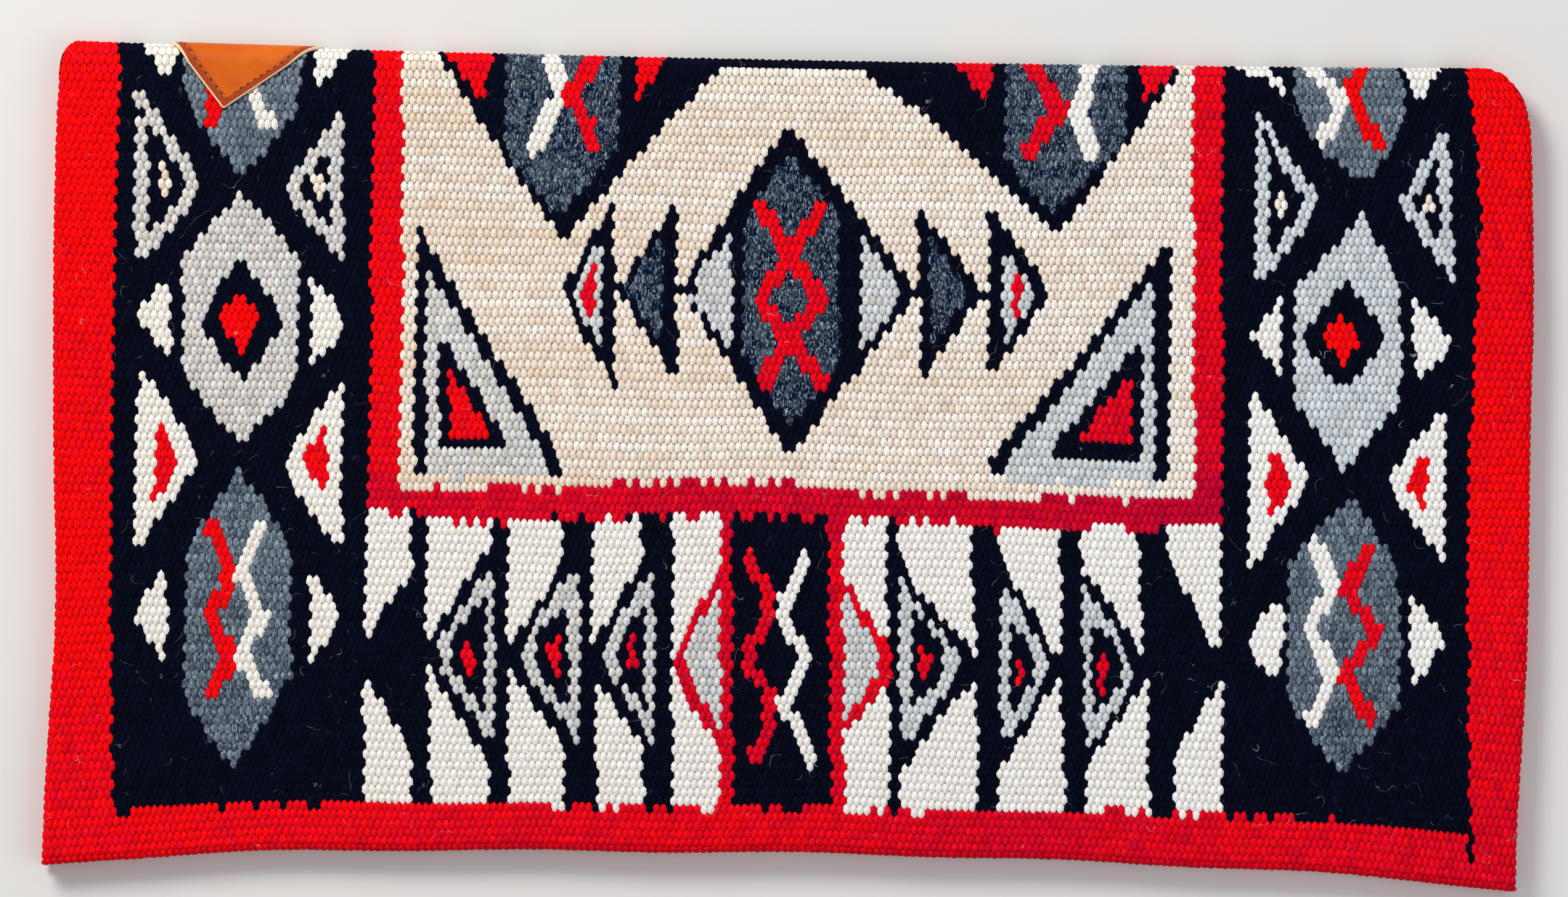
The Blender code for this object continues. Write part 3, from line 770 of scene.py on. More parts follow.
def dye_of(yarn, px, py, fleck):
    """How far each bead leans to its yarn's second shade, from where it lies in the photograph; for red
    partly painted shade.
    """
    patch = blotch(px, py, 130.0) - 0.5
    right = np.clip((px - 300) / 1900, 0, 1)
    low = np.clip((py - 100) / 1300, 0, 1)
    in_middle = between(px, BETWEEN_PANELS) & (py < END_BORDER)
    in_rail = in_middle & between(py, RAIL_ROWS)
    at_end = smooth((py - END_BORDER) / 30) * smooth((px - 150) / 600)
    # Red: the lean to the right and downwards is partly real dye and partly painted shade, darker away
    # from the light at the upper left.
    red = -0.04 + 0.06 * right + (0.20 + 0.22 * right) * low + 0.19 * in_middle * (1 + right)
    red = red + 0.34 * in_rail + at_end * (0.20 - 0.12 * right) + 0.30 * patch
    streaks = 0.22 * np.sin(py / 7 + 2.4 * np.sin(px / 290)) + 0.18 * np.sin(py / 31 - px / 520)
    cream = 0.28 + 0.60 * right + (1 - 0.4 * right) * streaks
    charcoal = 0.80 - 0.20 * (py > LOW_PANEL) - 0.66 * in_middle + 0.2 * patch
    charcoal = charcoal - 0.06 * (in_middle & (py > LOW_FIELD))
    dye = np.select(
        [yarn == RED, yarn == WHITE, yarn == GREY, yarn == CHARCOAL, yarn == CREAM],
        [red, 0.35 + 0.5 * right, 0.9 - 0.8 * right, charcoal, cream],
        0.40,
    )
    spread = np.where(yarn == RED, CHANCE_RED, CHANCE)
    return np.clip(dye + spread * (fleck - 0.5), 0, 1)


def ragged(px, py, fleck):
    """Where a bead looks for its yarn: up or down a little at the frame's rail and the end border."""
    at_rail = between(px, BETWEEN_PANELS) & between(py, (765, 885))
    at_end = (px < 2250) & between(py, (1285, 1350))
    return py + (at_rail | at_end) * RAGGED * (fleck - 0.5)


print("dyes lean from 0 to 1, by chance up to", CHANCE / 2, "either way")

# %% [markdown]
# Four weaves, one for each face of each half. The two faces of a half are shifted by half a bead,
# because a yarn that shows on one face hides behind a cord on the other. Each weave is read from the
# painting once.

# %% Read the yarns of each weave
def read_weave(weave, place):
    """Give each bead of a weave its yarn and its dye, which for red is partly painted shade."""
    i, j = weave.middles()
    px, py = place(i, j)
    weave.yarn = yarn_at(px, ragged(px, py, weave.fleck))
    weave.dye = dye_of(weave.yarn, px, py, weave.fleck)
    return weave


def span(i):
    """The distance across the face of a grid line."""
    return -HALF_SPAN + i * STEP


def half_picture(steps):
    """Where beads of a half fall in the photograph, as if they were on the upper half."""
    def place(i, j):
        point = on_half("upper", span(i), SEAM + j * ROW / steps, 0.0, 0.0)
        return in_photo(point[..., 0], point[..., 1], point[..., 2])
    return place


weaves = {}
for half, steps in STEPS_ALONG.items():
    first = 0 if half == "upper" else 1
    for face in ("outer", "inner"):
        seed = len(weaves) + 11
        weave = Weave(ROWS, steps, ROW, first + (face == "inner"), seed)
        weaves[half, face] = read_weave(weave, half_picture(steps))
print({name: np.bincount(w.yarn.ravel(), minlength=6).tolist() for name, w in weaves.items()})


# %% [markdown]
# A yarn is a material. Each material here is a small tree of nodes, so these helpers keep the lines
# short: one adds a node, sets its values and joins it to the nodes before it.

# %% Node helpers
def shade(red, green, blue):
    """A colour as written in a paint program, as light."""
    parts = [c / 255 for c in (red, green, blue)]
    return tuple(c / 12.92 if c <= 0.04045 else ((c + 0.055) / 1.055) ** 2.4 for c in parts)


def set_inputs(tree, target, inputs):
    """Set each input of a node, or link it to the output that it is given."""
    for socket, value in inputs.items():
        if isinstance(value, bpy.types.NodeSocket):
            tree.links.new(value, target.inputs[socket])
        else:
            target.inputs[socket].default_value = value


def node(tree, kind, inputs, operation=None):
    """Add a node with its inputs."""
    made = tree.nodes.new("ShaderNode" + kind)
    if operation:
        made.operation = operation
    set_inputs(tree, made, inputs)
    return made


def math_node(tree, operation, *values):
    """The result of an operation on numbers."""
    return node(tree, "Math", dict(enumerate(values)), operation).outputs[0]


def vector_node(tree, operation, *values):
    """A node that works on vectors."""
    return node(tree, "VectorMath", dict(enumerate(values)), operation)


print("node helpers ready")

# %% [markdown]
# Textures and mixes of colour come from helpers too. A pattern follows the place on the object, or a
# number that the mesh carries, so that it stays on the blanket when it moves.

# %% Texture helpers
def noise(tree, where, scale, detail=2.0, roughness=0.5):
    """A noise texture."""
    return node(tree, "TexNoise", {
        "Vector": where, "Scale": scale, "Detail": detail, "Roughness": roughness,
    })


def attribute(tree, name):
    """A number that each face or point of a mesh carries."""
    made = node(tree, "Attribute", {})
    made.attribute_name = name
    return made.outputs["Fac"]


def map_range(tree, value, start, end, low, high):
    """A node that turns one range of numbers into another."""
    return node(tree, "MapRange", {
        "Value": value, "From Min": start, "From Max": end, "To Min": low, "To Max": high,
    })


def mixed(tree, share, first, second):
    """A colour between two others. Each is a colour or another node's output."""
    made = tree.nodes.new("ShaderNodeMix")
    made.data_type = "RGBA"
    set_inputs(tree, made, {0: share, 6: first, 7: second})
    return made.outputs[2]


def object_place(tree):
    """The place on the object, which patterns follow."""
    return tree.nodes.new("ShaderNodeTexCoord").outputs["Object"]


def new_material(name):
    """A material with its tree of nodes and its shader."""
    material = bpy.data.materials.new(name)
    material.use_nodes = True
    return material, material.node_tree, material.node_tree.nodes["Principled BSDF"]


print("texture helpers ready")

# %% [markdown]
# Each bead is a bundle of fibres of slightly unlike shades. So its colour is a mix of two shades by
# the bead's dye, which for red is partly painted shade, and a fine noise, stretched along the fibres,
# lets flecks of a third shade through.
# Here and there a pale stray hair curls over the wool: a contour line of a soft noise, kept only
# where a second noise is high.

# %% Colour of the wool
FLECK_SOFTNESS = 0.12
HAIR_WIDTH = 0.0022
HAIR_COLOUR = (*shade(214, 214, 210), 1)


def fibre_noise(tree, where):
    """A fine noise, stretched along the fibres, which run a little aslant."""
    mapping = node(tree, "Mapping", {
        "Vector": where, "Scale": (1.0, 0.35, 1.0), "Rotation": (0, 0, math.radians(9)),
    })
    return noise(tree, mapping.outputs["Vector"], 1000, 4, 0.6).outputs["Fac"]


def heathered(tree, fibres, shades, fleck_start, fleck_share):
    """The bead's mix of two shades, with flecks of a third."""
    first, second, fleck = [(*colour, 1) for colour in shades]
    flecks = map_range(tree, fibres, fleck_start, fleck_start + FLECK_SOFTNESS, 0.0, fleck_share)
    dyed = mixed(tree, attribute(tree, "dye"), first, second)
    return mixed(tree, flecks.outputs["Result"], dyed, fleck)


def with_hairs(tree, where, colour, hair_share):
    """The colour with a few pale hairs on it."""
    thin = math_node(tree, "COMPARE", noise(tree, where, 55, 1).outputs["Fac"], 0.5, HAIR_WIDTH)
    places = noise(tree, where, 95).outputs["Fac"]
    few = map_range(tree, places, 0.59, 0.66, 0.0, hair_share).outputs["Result"]
    return mixed(tree, math_node(tree, "MULTIPLY", thin, few), colour, HAIR_COLOUR)


print("wool colours ready")

# %% [markdown]
# The gap between two beads is dark, because little light gets in. Where a point lies in its bead
# comes from the UV map, which a noise frays a little, so that no gap is a clean line. The same
# measure raises the middle of the bead, and the fibres' noise lifts the fuzz that is too fine to
# model.

# %% Light and relief of a bead
BEAD_END = 1.10
GAP_START = 0.34
PLUMP, FUZZ = 0.0006, 0.0004


def from_middle(tree, where):
    """The square of the distance from the middle of the bead: 0 there, about 1 at its rim."""
    bead = tree.nodes.new("ShaderNodeUVMap")
    bead.uv_map = "bead"
    uneven = noise(tree, where, 520, 3, 0.7).outputs["Color"]
    bend = vector_node(tree, "MULTIPLY_ADD", uneven, (1.0, 0.8, 0), (-0.5, -0.4, 0)).outputs["Vector"]
    frayed = vector_node(tree, "ADD", bead.outputs["UV"], bend).outputs["Vector"]
    return vector_node(tree, "DOT_PRODUCT", frayed, frayed).outputs["Value"]


def lit(tree, colour, square, tone_share, gap_value):
    """The colour, a little brighter or darker by bead, and dark in the gaps."""
    gap = map_range(tree, square, GAP_START, BEAD_END, 1.0, gap_value)
    gap.interpolation_type = "SMOOTHSTEP"
    own = math_node(tree, "MULTIPLY_ADD", attribute(tree, "tone"), tone_share, 1.0)
    both = math_node(tree, "MULTIPLY", own, gap.outputs["Result"])
    return node(tree, "HueSaturation", {"Value": both, "Color": colour}).outputs["Color"]


def bead_normal(tree, square, fibres):
    """The direction of the surface on a plump and fuzzy bead."""
    crown = map_range(tree, square, 0.0, BEAD_END, 1.0, 0.0).outputs["Result"]
    top = math_node(tree, "POWER", crown, 0.6)
    plump = node(tree, "Bump", {"Height": top, "Strength": 1.0, "Distance": PLUMP}).outputs["Normal"]
    fuzz = node(tree, "Bump", {"Height": fibres, "Strength": 0.8, "Distance": FUZZ, "Normal": plump})
    return fuzz.outputs["Normal"]


print("bead relief", PLUMP, "m and fuzz", FUZZ, "m")

# %% [markdown]
# With these, a yarn is one line in a table. It has three shades: the two that the dye mixes, which for
# red also carries painted shade, and the fleck. Then come where its flecks start in the noise and how
# strong they are, how unlike its beads are, how dark its gaps are, its sheen, and how clearly stray
# hairs show on it. Wool has no gloss, only a soft sheen.

# %% Yarns
def wool(name, first, second, fleck, fleck_start, fleck_share, tone_share, gap_value, sheen, hair_share):
    """A heathered wool yarn."""
    material, tree, shader = new_material(name)
    where = object_place(tree)
    shades = [shade(*colour) for colour in (first, second, fleck)]
    fibres = fibre_noise(tree, where)
    square = from_middle(tree, where)
    colour = heathered(tree, fibres, shades, fleck_start, fleck_share)
    colour = with_hairs(tree, where, lit(tree, colour, square, tone_share, gap_value), hair_share)
    set_inputs(tree, shader, {
        "Roughness": 0.95, "Specular IOR Level": 0.06, "Sheen Weight": sheen, "Sheen Roughness": 0.55,
        "Sheen Tint": (*shades[1], 1), "Base Color": colour, "Normal": bead_normal(tree, square, fibres),
    })
    return material


YARN_LOOKS = {
    "red_wool": ((255, 4, 6), (192, 0, 46), (255, 40, 44), 0.52, 0.3, 0.10, 0.34, 0.0, 0.25),
    "black_wool": ((2, 5, 20), (6, 11, 32), (40, 52, 74), 0.64, 0.4, 0.20, 0.50, 0.0, 0.28),
    "cream_wool": ((233, 210, 185), (246, 239, 230), (206, 176, 146), 0.54, 0.4, 0.06, 0.27, 0.2, 0.1),
    "white_wool": ((236, 229, 216), (242, 240, 237), (218, 206, 190), 0.58, 0.3, 0.03, 0.52, 0.2, 0.1),
    "charcoal_wool": ((0, 20, 50), (106, 118, 130), (174, 196, 212), 0.51, 0.60, 0.20, 0.10, 0.08, 0.3),
    "grey_wool": ((206, 215, 220), (218, 212, 205), (120, 120, 122), 0.54, 0.45, 0.12, 0.24, 0.2, 0.2),
}
YARNS = [wool(name, *look) for name, look in YARN_LOOKS.items()]
SLOTS = ["red_wool", "black_wool", "cream_wool", "cream_wool", "charcoal_wool", "grey_wool"]
print(len(YARNS), "yarns")


# %% [markdown]
# Each piece of cloth starts as a flat grid with a Solidify modifier, which makes it a closed slab:
# a front, a back and a rim. Its points then tell which step of the grid and which side they are on.

# %% A slab
WALL = 0.1


def slab(name, wide, long):
    """A closed slab of wide by long steps, and the step and side that each of its points belongs to."""
    bpy.ops.mesh.primitive_grid_add(x_subdivisions=wide, y_subdivisions=long, size=1)
    piece = bpy.context.object
    piece.name = piece.data.name = name
    wall = piece.modifiers.new("wall", "SOLIDIFY")
    wall.thickness = WALL
    wall.offset = -1
    bpy.ops.object.modifier_apply(modifier=wall.name)
    places = np.empty(len(piece.data.vertices) * 3, np.float32)
    piece.data.vertices.foreach_get("co", places)
    places = places.reshape(-1, 3)
    i = np.rint((places[:, 0] + 0.5) * wide).astype(int)
    j = np.rint((0.5 - places[:, 1]) * long).astype(int)
    return piece, i, j, places[:, 2] < -WALL / 2


print("slabs can be made")

# %% [markdown]
# Then every point is moved to its place on the sheet. Pieces that meet share their edge points
# exactly, and the shading directions are worked out on the whole sheet, so no seam shows between
# them.

# %% Bend a slab into cloth
def directions(points):
    """The outward direction at each point of a grid, from its neighbours."""
    along_row = points[1:-1, 2:] - points[1:-1, :-2]
    along_column = points[2:, 1:-1] - points[:-2, 1:-1]
    normal = np.cross(along_column, along_row)
    return normal / np.linalg.norm(normal, axis=-1, keepdims=True)


def fit(piece, i, j, is_back, front, back):
    """Move a slab to the grids of its front and back, which have one step to spare all round."""
    places = np.where(is_back[:, None], back[j + 1, i + 1], front[j + 1, i + 1])
    piece.data.vertices.foreach_set("co", places.astype(np.float32).ravel())
    facing = np.where(is_back[:, None], -directions(back)[j, i], directions(front)[j, i])
    piece.data.shade_smooth()
    piece.data.normals_split_custom_set_from_vertices(facing.astype(np.float32))
    piece.data.update()


print("slabs can be bent")

# %% [markdown]
# Each face of the mesh lies in one bead, so it takes that bead's yarn as its material. Its dye, which
# for red is partly painted shade, and its tone, which is how bright the bead is beside its neighbours,
# are numbers that the face carries for the material to read. The UV map holds where each corner lies
# in the bead.

# %% Give the cloth its yarns
def dress(piece, i, j, is_back, front_weave, back_weave, first_i, first_j):
    """Give each face the yarn, dye and tone of the bead that it lies in; for red the dye is partly
    painted shade.
    """
    mesh = piece.data
    for yarn in YARNS:
        mesh.materials.append(yarn)
    corners = np.empty(len(mesh.loops), np.int32)
    mesh.loops.foreach_get("vertex_index", corners)
    corners = corners.reshape(-1, 4)
    face_i = i[corners].min(1) + first_i
    face_j = j[corners].min(1) + first_j
    face_back = is_back[corners].all(1)
    yarn = np.empty(len(corners), np.int32)
    dye = np.empty(len(corners), np.float32)
    tone = np.empty(len(corners), np.float32)
    within = np.empty((len(corners), 4, 2), np.float32)
    for weave, mine in ((front_weave, ~face_back), (back_weave, face_back)):
        row, column, shift = weave.bead_of(face_i[mine], face_j[mine])
        yarn[mine] = weave.yarn[row, column]
        dye[mine] = weave.dye[row, column]
        tone[mine] = (weave.fleck[row, column] * 7.3) % 1 * 2 - 1
        points = corners[mine]
        bead = (row[:, None], column[:, None], shift[:, None])
        within[mine] = np.stack(weave.within(i[points] + first_i, j[points] + first_j, *bead), -1)
    mesh.uv_layers.new(name="bead").uv.foreach_set("vector", within.ravel())
    mesh.polygons.foreach_set("material_index", yarn)
    for name, values in (("dye", dye), ("tone", tone)):
        mesh.attributes.new(name, "FLOAT", "FACE").data.foreach_set("value", values)
    SLOTS[np.bincount(yarn, minlength=len(YARNS)).argmax()]


print("cloth can be dressed in", len(YARNS), "yarns")

# %% [markdown]
# The two halves are cut into the areas that a weaver would name: borders, side panels, the frame, the
# field and the band. The cuts follow the grid, so no bead is torn. Each area stands for the solids
# that it covers.

# %% Areas of a half
def line_at(x):
    """The grid line nearest to a place across the blanket."""
    return int(round((x + HALF_SPAN) / STEP))


def row_at(u, steps):
    """The grid line of a half nearest to a distance from the roll."""
    return int(round((u - SEAM) / ROW)) * steps


LAST = COLUMNS * STEPS
AREAS = {
    "left_border": ((-EDGE, -PANEL_OUTER), (0, 1), ["left_border"]),
    "right_border": ((PANEL_OUTER, EDGE), (0, 1), ["right_border"]),
    "left_panel": ((-PANEL_OUTER, -PANEL_INNER), (0, BAND_END),
                   ["left_ground", "left_spine_lozenge", "left_high_lozenge", "left_eye",
                    "left_low_lozenge"]),
    "right_panel": ((PANEL_INNER, PANEL_OUTER), (0, BAND_END),
                    ["right_ground", "right_spine_lozenge", "right_high_lozenge", "right_eye",
                     "right_low_lozenge"]),
    "left_field": ((-PANEL_INNER, -DIAMOND_EDGE), (0, RAIL_END),
                   ["frame", "field", "left_spine_triangle", "left_corner_triangle"]),
    "middle_field": ((-DIAMOND_EDGE, DIAMOND_EDGE), (0, RAIL_END),
                     ["frame", "field", "diamond_outline", "diamond_core"]),
    "right_field": ((DIAMOND_EDGE, PANEL_INNER), (0, RAIL_END),
                    ["frame", "field", "right_spine_triangle", "right_corner_triangle"]),
    "left_band": ((-PANEL_INNER, -STRIPE_EDGE), (RAIL_END, BAND_END), ["left_ground"]),
    "middle_band": ((-STRIPE_EDGE, STRIPE_EDGE), (RAIL_END, BAND_END),
                    ["center_ground", "left_stripe", "right_stripe"]),
    "right_band": ((STRIPE_EDGE, PANEL_INNER), (RAIL_END, BAND_END), ["right_ground"]),
    "end_border": ((-PANEL_OUTER, PANEL_OUTER), (BAND_END, 1), ["end_border"]),
}
print(len(AREAS), "areas in each half")

# %% [markdown]
# Now the two halves. Each area is a slab, bent to the sheet and dressed in the weaves of its two
# faces. It rides on its half and replaces the plain solids there.

# %% The halves
def half_grid(half, face, i, j):
    """The places of grid points on one face of a half."""
    weave = weaves[half, face]
    slide, stray, sink = weave.shape(i, j)
    s = span(np.clip(i, 0, LAST)) + slide
    t = SEAM + np.clip(j, 0, weave.rows * weave.steps) * ROW / weave.steps + stray
    side = 1 if half == "upper" else -1
    depth = sink + pressed(s, side * (t + QUARTER_ROLL)) if face == "outer" else CLOTH - sink
    return on_half(half, s, t, depth, sink)


for half, steps in STEPS_ALONG.items():
    for name, ((x_from, x_to), (u_from, u_to), stands_for) in AREAS.items():
        i_from = 0 if x_from == -EDGE else line_at(x_from)
        i_to = LAST if x_to == EDGE else line_at(x_to)
        j_from = 0 if u_from == 0 else row_at(u_from, steps)
        j_to = ROWS * steps if u_to == 1 else row_at(u_to, steps)
        piece, i, j, is_back = slab(f"{half}_{name}_cloth", i_to - i_from, j_to - j_from)
        jj, ii = np.mgrid[j_from - 1 : j_to + 2, i_from - 1 : i_to + 2]
        outer, inner = (half_grid(half, face, ii, jj) for face in ("outer", "inner"))
        front, back = ("outer", "inner") if half == "upper" else ("inner", "outer")
        grids = {"outer": outer, "inner": inner}
        fit(piece, i, j, is_back, grids[front], grids[back])
        dress(piece, i, j, is_back, weaves[half, front], weaves[half, back], i_from, j_from)
        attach(piece, half + "_half")
        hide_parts(*[f"{half}_{node}" for node in stands_for])

# %% [markdown]
# The roll at the fold is half round outside. It bulges a little, most at its two ends. The inside is
# pressed into a tight loop, so the cloth is thicker there than it is in the halves.

# %% Shape of the roll
LOOP_RADIUS = 0.0023
BULGE, END_BULGE = 0.0012, 0.0033


def loop_depth(v):
    """How deep the inner face lies below the outer one, at a distance from the crest."""
    open_share = 1 - smooth((np.abs(v) - QUARTER_ROLL) / SEAM)
    return CLOTH - open_share * (CLOTH - (ROLL_RADIUS - LOOP_RADIUS))


def on_roll(s, v, depth, relief):
    """A point of the roll, v being the distance from its crest along the outside, positive above."""
    from_crest = np.abs(v)
    x, side_angle = across(s, from_crest, from_crest - QUARTER_ROLL)
    x = x - np.where(s < 0, -1, 1) * np.sin(side_angle) * relief
    angle = np.clip(v, -QUARTER_ROLL, QUARTER_ROLL) / ROLL_RADIUS
    radius = ROLL_RADIUS - (HALF_CLOTH + (depth - HALF_CLOTH) * np.cos(side_angle))
    past = np.clip(from_crest - QUARTER_ROLL, 0, None)
    y = ROLL_Y + (radius + BULGE + END_BULGE * (x / EDGE) ** 2) * np.cos(angle) - past
    z = ROLL_RADIUS + radius * np.sin(angle)
    return np.stack([x, y, z], -1)


print("crest of the roll:", on_roll(0.0, 0.0, 0.0, 0.0).round(4).tolist())

# %% [markdown]
# The roll bends when the blanket is opened, in five places, and it is cut half way between its
# hinges. The outside and the inside of the roll bend by unlike amounts, so they are separate layers,
# and each has a weave of its own. The inside opens out four times as far.

# %% Weaves of the roll
FOLD_LINES = FOLD_ROWS * FOLD_STEPS
CUTS = [0, 6, 10, 14, 18, FOLD_LINES]


def fold_picture(i, j):
    """Where beads of the roll fall in the photograph, as if they were on its upper side."""
    v = (j - FOLD_LINES / 2) * FOLD_STEP
    point = on_roll(span(i), np.abs(v), 0.0, 0.0)
    return in_photo(point[..., 0], point[..., 1], point[..., 2])


def fold_grid(face, i, j):
    """The places of grid points on one face of the roll, and of the layer behind it."""
    weave = weaves["fold", face]
    slide, stray, sink = weave.shape(i, j)
    s = span(np.clip(i, 0, LAST)) + slide
    v = (j - FOLD_LINES / 2) * FOLD_STEP + stray * np.where(np.isin(j, CUTS[1:-1]), 0.5, 1)
    depth = sink + pressed(s, v) if face == "outer" else loop_depth(v) - sink
    return on_roll(s, v, depth, sink), on_roll(s, v, np.full(np.shape(v), HALF_CLOTH), 0 * sink)


for face in ("outer", "inner"):
    weave = Weave(FOLD_ROWS, FOLD_STEPS, FOLD_STEP * FOLD_STEPS, face == "inner", 31 + len(face))
    weaves["fold", face] = read_weave(weave, fold_picture)
print(len(weaves), "weaves with those of the roll")

# %% [markdown]


# %% [markdown]
# The ten pieces of the roll are slabs like the others. Each has beads on the side that shows, and is
# smooth on the side that touches the other layer.

# %% The roll
for face, radius in (("outer", ROLL_RADIUS), ("inner", LOOP_RADIUS)):
    for number, (j_from, j_to) in enumerate(zip(CUTS[:-1], CUTS[1:])):
        piece, i, j, is_back = slab(f"roll_{face}_cloth_{number + 1}", LAST, j_to - j_from)
        jj, ii = np.mgrid[j_from - 1 : j_to + 2, -1 : LAST + 2]
        shown, behind = fold_grid(face, ii, jj)
        front, back = (behind, shown) if face == "outer" else (shown, behind)
        fit(piece, i, j, is_back, front, back)
        weave = weaves["fold", face]
        dress(piece, i, j, is_back, weave, weave, 0, j_from)
        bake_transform(piece)
        if face == "outer":
            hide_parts("roll_edge_strip" if number == 4 else f"roll_strip_{number + 1}")
print("roll has", 2 * (len(CUTS) - 1), "pieces")

# %% [markdown]

# %% Floor
def plain(name, colour, roughness):
    """A plain finish."""
    material, tree, shader = new_material(name)
    set_inputs(tree, shader, {"Base Color": (*colour, 1), "Roughness": roughness})
    return material


bpy.ops.mesh.primitive_plane_add(size=8, location=(0, 0, -0.0004))
floor = bpy.context.object
floor.name = "floor"
floor.data.materials.append(plain("pale_floor", shade(218, 217, 214), 0.9))
print(floor.name, "laid")

# %% [markdown]
# The light is soft. The lamps are big and far, so that the shadows in the weave are soft, and low
# enough on one side to show the beads.

# %% Light
def lamp(name, place, size, watts, colour):
    """A square soft lamp aimed at the blanket."""
    bpy.ops.object.light_add(type="AREA", location=place)
    light = bpy.context.object
    light.name = name
    light.data.size = size
    light.data.energy = watts
    light.data.color = colour
    light.rotation_euler = (Vector((0, 0, 0)) - Vector(place)).to_track_quat("-Z", "Y").to_euler()


lamp("key", (-1.7, 2.0, 2.1), 1.35, 96, (1.0, 0.97, 0.93))
lamp("fill", (1.6, -0.9, 1.9), 1.6, 18, (0.93, 0.96, 1.0))
world = bpy.context.scene.world or bpy.data.worlds.new("world")
bpy.context.scene.world = world
world.use_nodes = True
world.node_tree.nodes["Background"].inputs["Color"].default_value = (0.92, 0.94, 1.0, 1)
world.node_tree.nodes["Background"].inputs["Strength"].default_value = 0.45
bpy.context.scene.view_settings.view_transform = "Standard"
print("2 lamps and a pale sky")

# %% [markdown]
# The leather is smooth and a little blotchy, with a fine grain. Outside its seam it has darkened, and
# its cut edge is pale. A number on each point of the mesh tells how near the edge it is.

# %% Leather finishes
def leather_finish(name, middle_colour, edge_colour, spot_colour):
    """Smooth saddle leather that darkens from the seam outwards."""
    material, tree, shader = new_material(name)
    where = object_place(tree)
    patches = noise(tree, where, 42, 6, 0.62).outputs["Fac"]
    spots = mixed(tree, patches, (*middle_colour, 1), (*spot_colour, 1))
    grain = node(tree, "TexVoronoi", {"Vector": where, "Scale": 1400}).outputs["Distance"]
    bump = node(tree, "Bump", {"Height": grain, "Strength": 0.35, "Distance": 0.0002})
    set_inputs(tree, shader, {
        "Roughness": 0.42, "Specular IOR Level": 0.14, "Normal": bump.outputs["Normal"],
        "Base Color": mixed(tree, attribute(tree, "rim"), spots, (*edge_colour, 1)),
    })
    return material


FINISHES = [
    leather_finish("tan_leather", shade(226, 112, 14), shade(158, 60, 14), shade(172, 62, 4)),
    plain("pale_leather_edge", shade(232, 200, 160), 0.8),
    plain("tan_thread", shade(196, 96, 34), 0.6),
    # The stitch hole finish is painted shade: the dark inside a hole, laid on as a flat dark dot.
    plain("stitch_hole_shade", shade(70, 24, 10), 0.9),
]
TOP_FINISH, EDGE_FINISH, THREAD_FINISH, HOLE_SHADE_FINISH = range(4)
print(len(FINISHES), "finishes for the patch")

# %% [markdown]
# The leather is one grid of points, given by two questions: how far a point is from the nearest cut
# edge, and how deep its face lies there. The grid has narrow steps along the edges, which are round
# on top.

# %% Faces of the leather
PALE_EDGE = 0.0013
INSETS = np.array([0.0, 0.0003, 0.0008, PALE_EDGE, 0.0030, 0.0055, 0.0062])
INSET_SHARES = np.arange(len(INSETS)) * 0.12
PATCH_STEPS = 36
ASLANT = 0.71
TIP_HALF_WIDTH = 0.0006
ROUNDING = 0.0007
TIP_V = PATCH_REACH - 0.0007


def on_cloth(x, v, depth):
    """A point above or below the outer face of the cloth, anywhere near the fold."""
    x, v, depth = np.broadcast_arrays(*[np.asarray(value, float) for value in (x, v, depth)])
    bent = on_roll(x, v, depth, 0 * x)
    t = np.abs(v) - QUARTER_ROLL
    upper, lower = (on_half(half, x, t, depth, 0.0) for half in ("upper", "lower"))
    flat = np.where((v > 0)[..., None], upper, lower)
    return np.where((t > SEAM)[..., None], flat, bent)


def patch_grid(lines, depth_of):
    """The points of one face of the leather, for a list of distances from the crest."""
    middle, half_width = patch_row(lines[:, None])
    half_width = np.maximum(half_width, TIP_HALF_WIDTH)
    insets = np.minimum(INSETS, half_width * INSET_SHARES)
    inner = half_width - insets[:, -1:]
    spread = np.linspace(-1, 1, PATCH_STEPS + 1)[None, 1:-1] * inner
    offset = np.concatenate([insets - half_width, spread, (half_width - insets)[:, ::-1]], 1)
    to_edge = half_width - np.abs(offset)
    to_end = np.minimum(lines + TIP_V, TIP_V - lines)[:, None]
    to_edge = np.minimum(to_edge * ASLANT, np.abs(to_end))
    x = middle + offset
    return on_cloth(x, lines[:, None], depth_of(to_edge) - proud(lines[:, None])), to_edge


def top_depth(to_edge):
    """The upper face, rounded down at the cut edge."""
    share = np.clip(1 - to_edge / ROUNDING, 0, 1)
    return ROUNDING * (1 - np.sqrt(1 - share**2))


def flat_depth(to_edge):
    """The lower face."""
    return np.full(to_edge.shape, LEATHER)


print("leather is", LEATHER, "m thick")

# %% [markdown]
# Each strip of the leather lies on a strip of cloth of the roll, so it is cut at the same places as
# the roll, and the pieces share the lines at which they are cut.

# %% Leather pieces
PATCH_CUTS = [-TIP_V, -12 * FOLD_STEP, -6 * FOLD_STEP, -2 * FOLD_STEP,
              2 * FOLD_STEP, 6 * FOLD_STEP, 12 * FOLD_STEP, TIP_V]
FINE = FOLD_STEP / 2
EDGE_SHARE = 0.72
WORN_START, WORN_END = 0.0060, 0.0045


def patch_lines(start, end):
    """Distances from the crest between two cuts, with narrow steps at a tip."""
    steps = max(2, round(abs(end - start) / FINE))
    lines = list(np.linspace(start, end, steps + 1))
    for tip, near in ((start, 1), (end, -1)):
        if abs(abs(tip) - TIP_V) < 1e-9:
            lines += [tip + near * inset for inset in INSETS[1:4]]
    return np.array(sorted(lines))


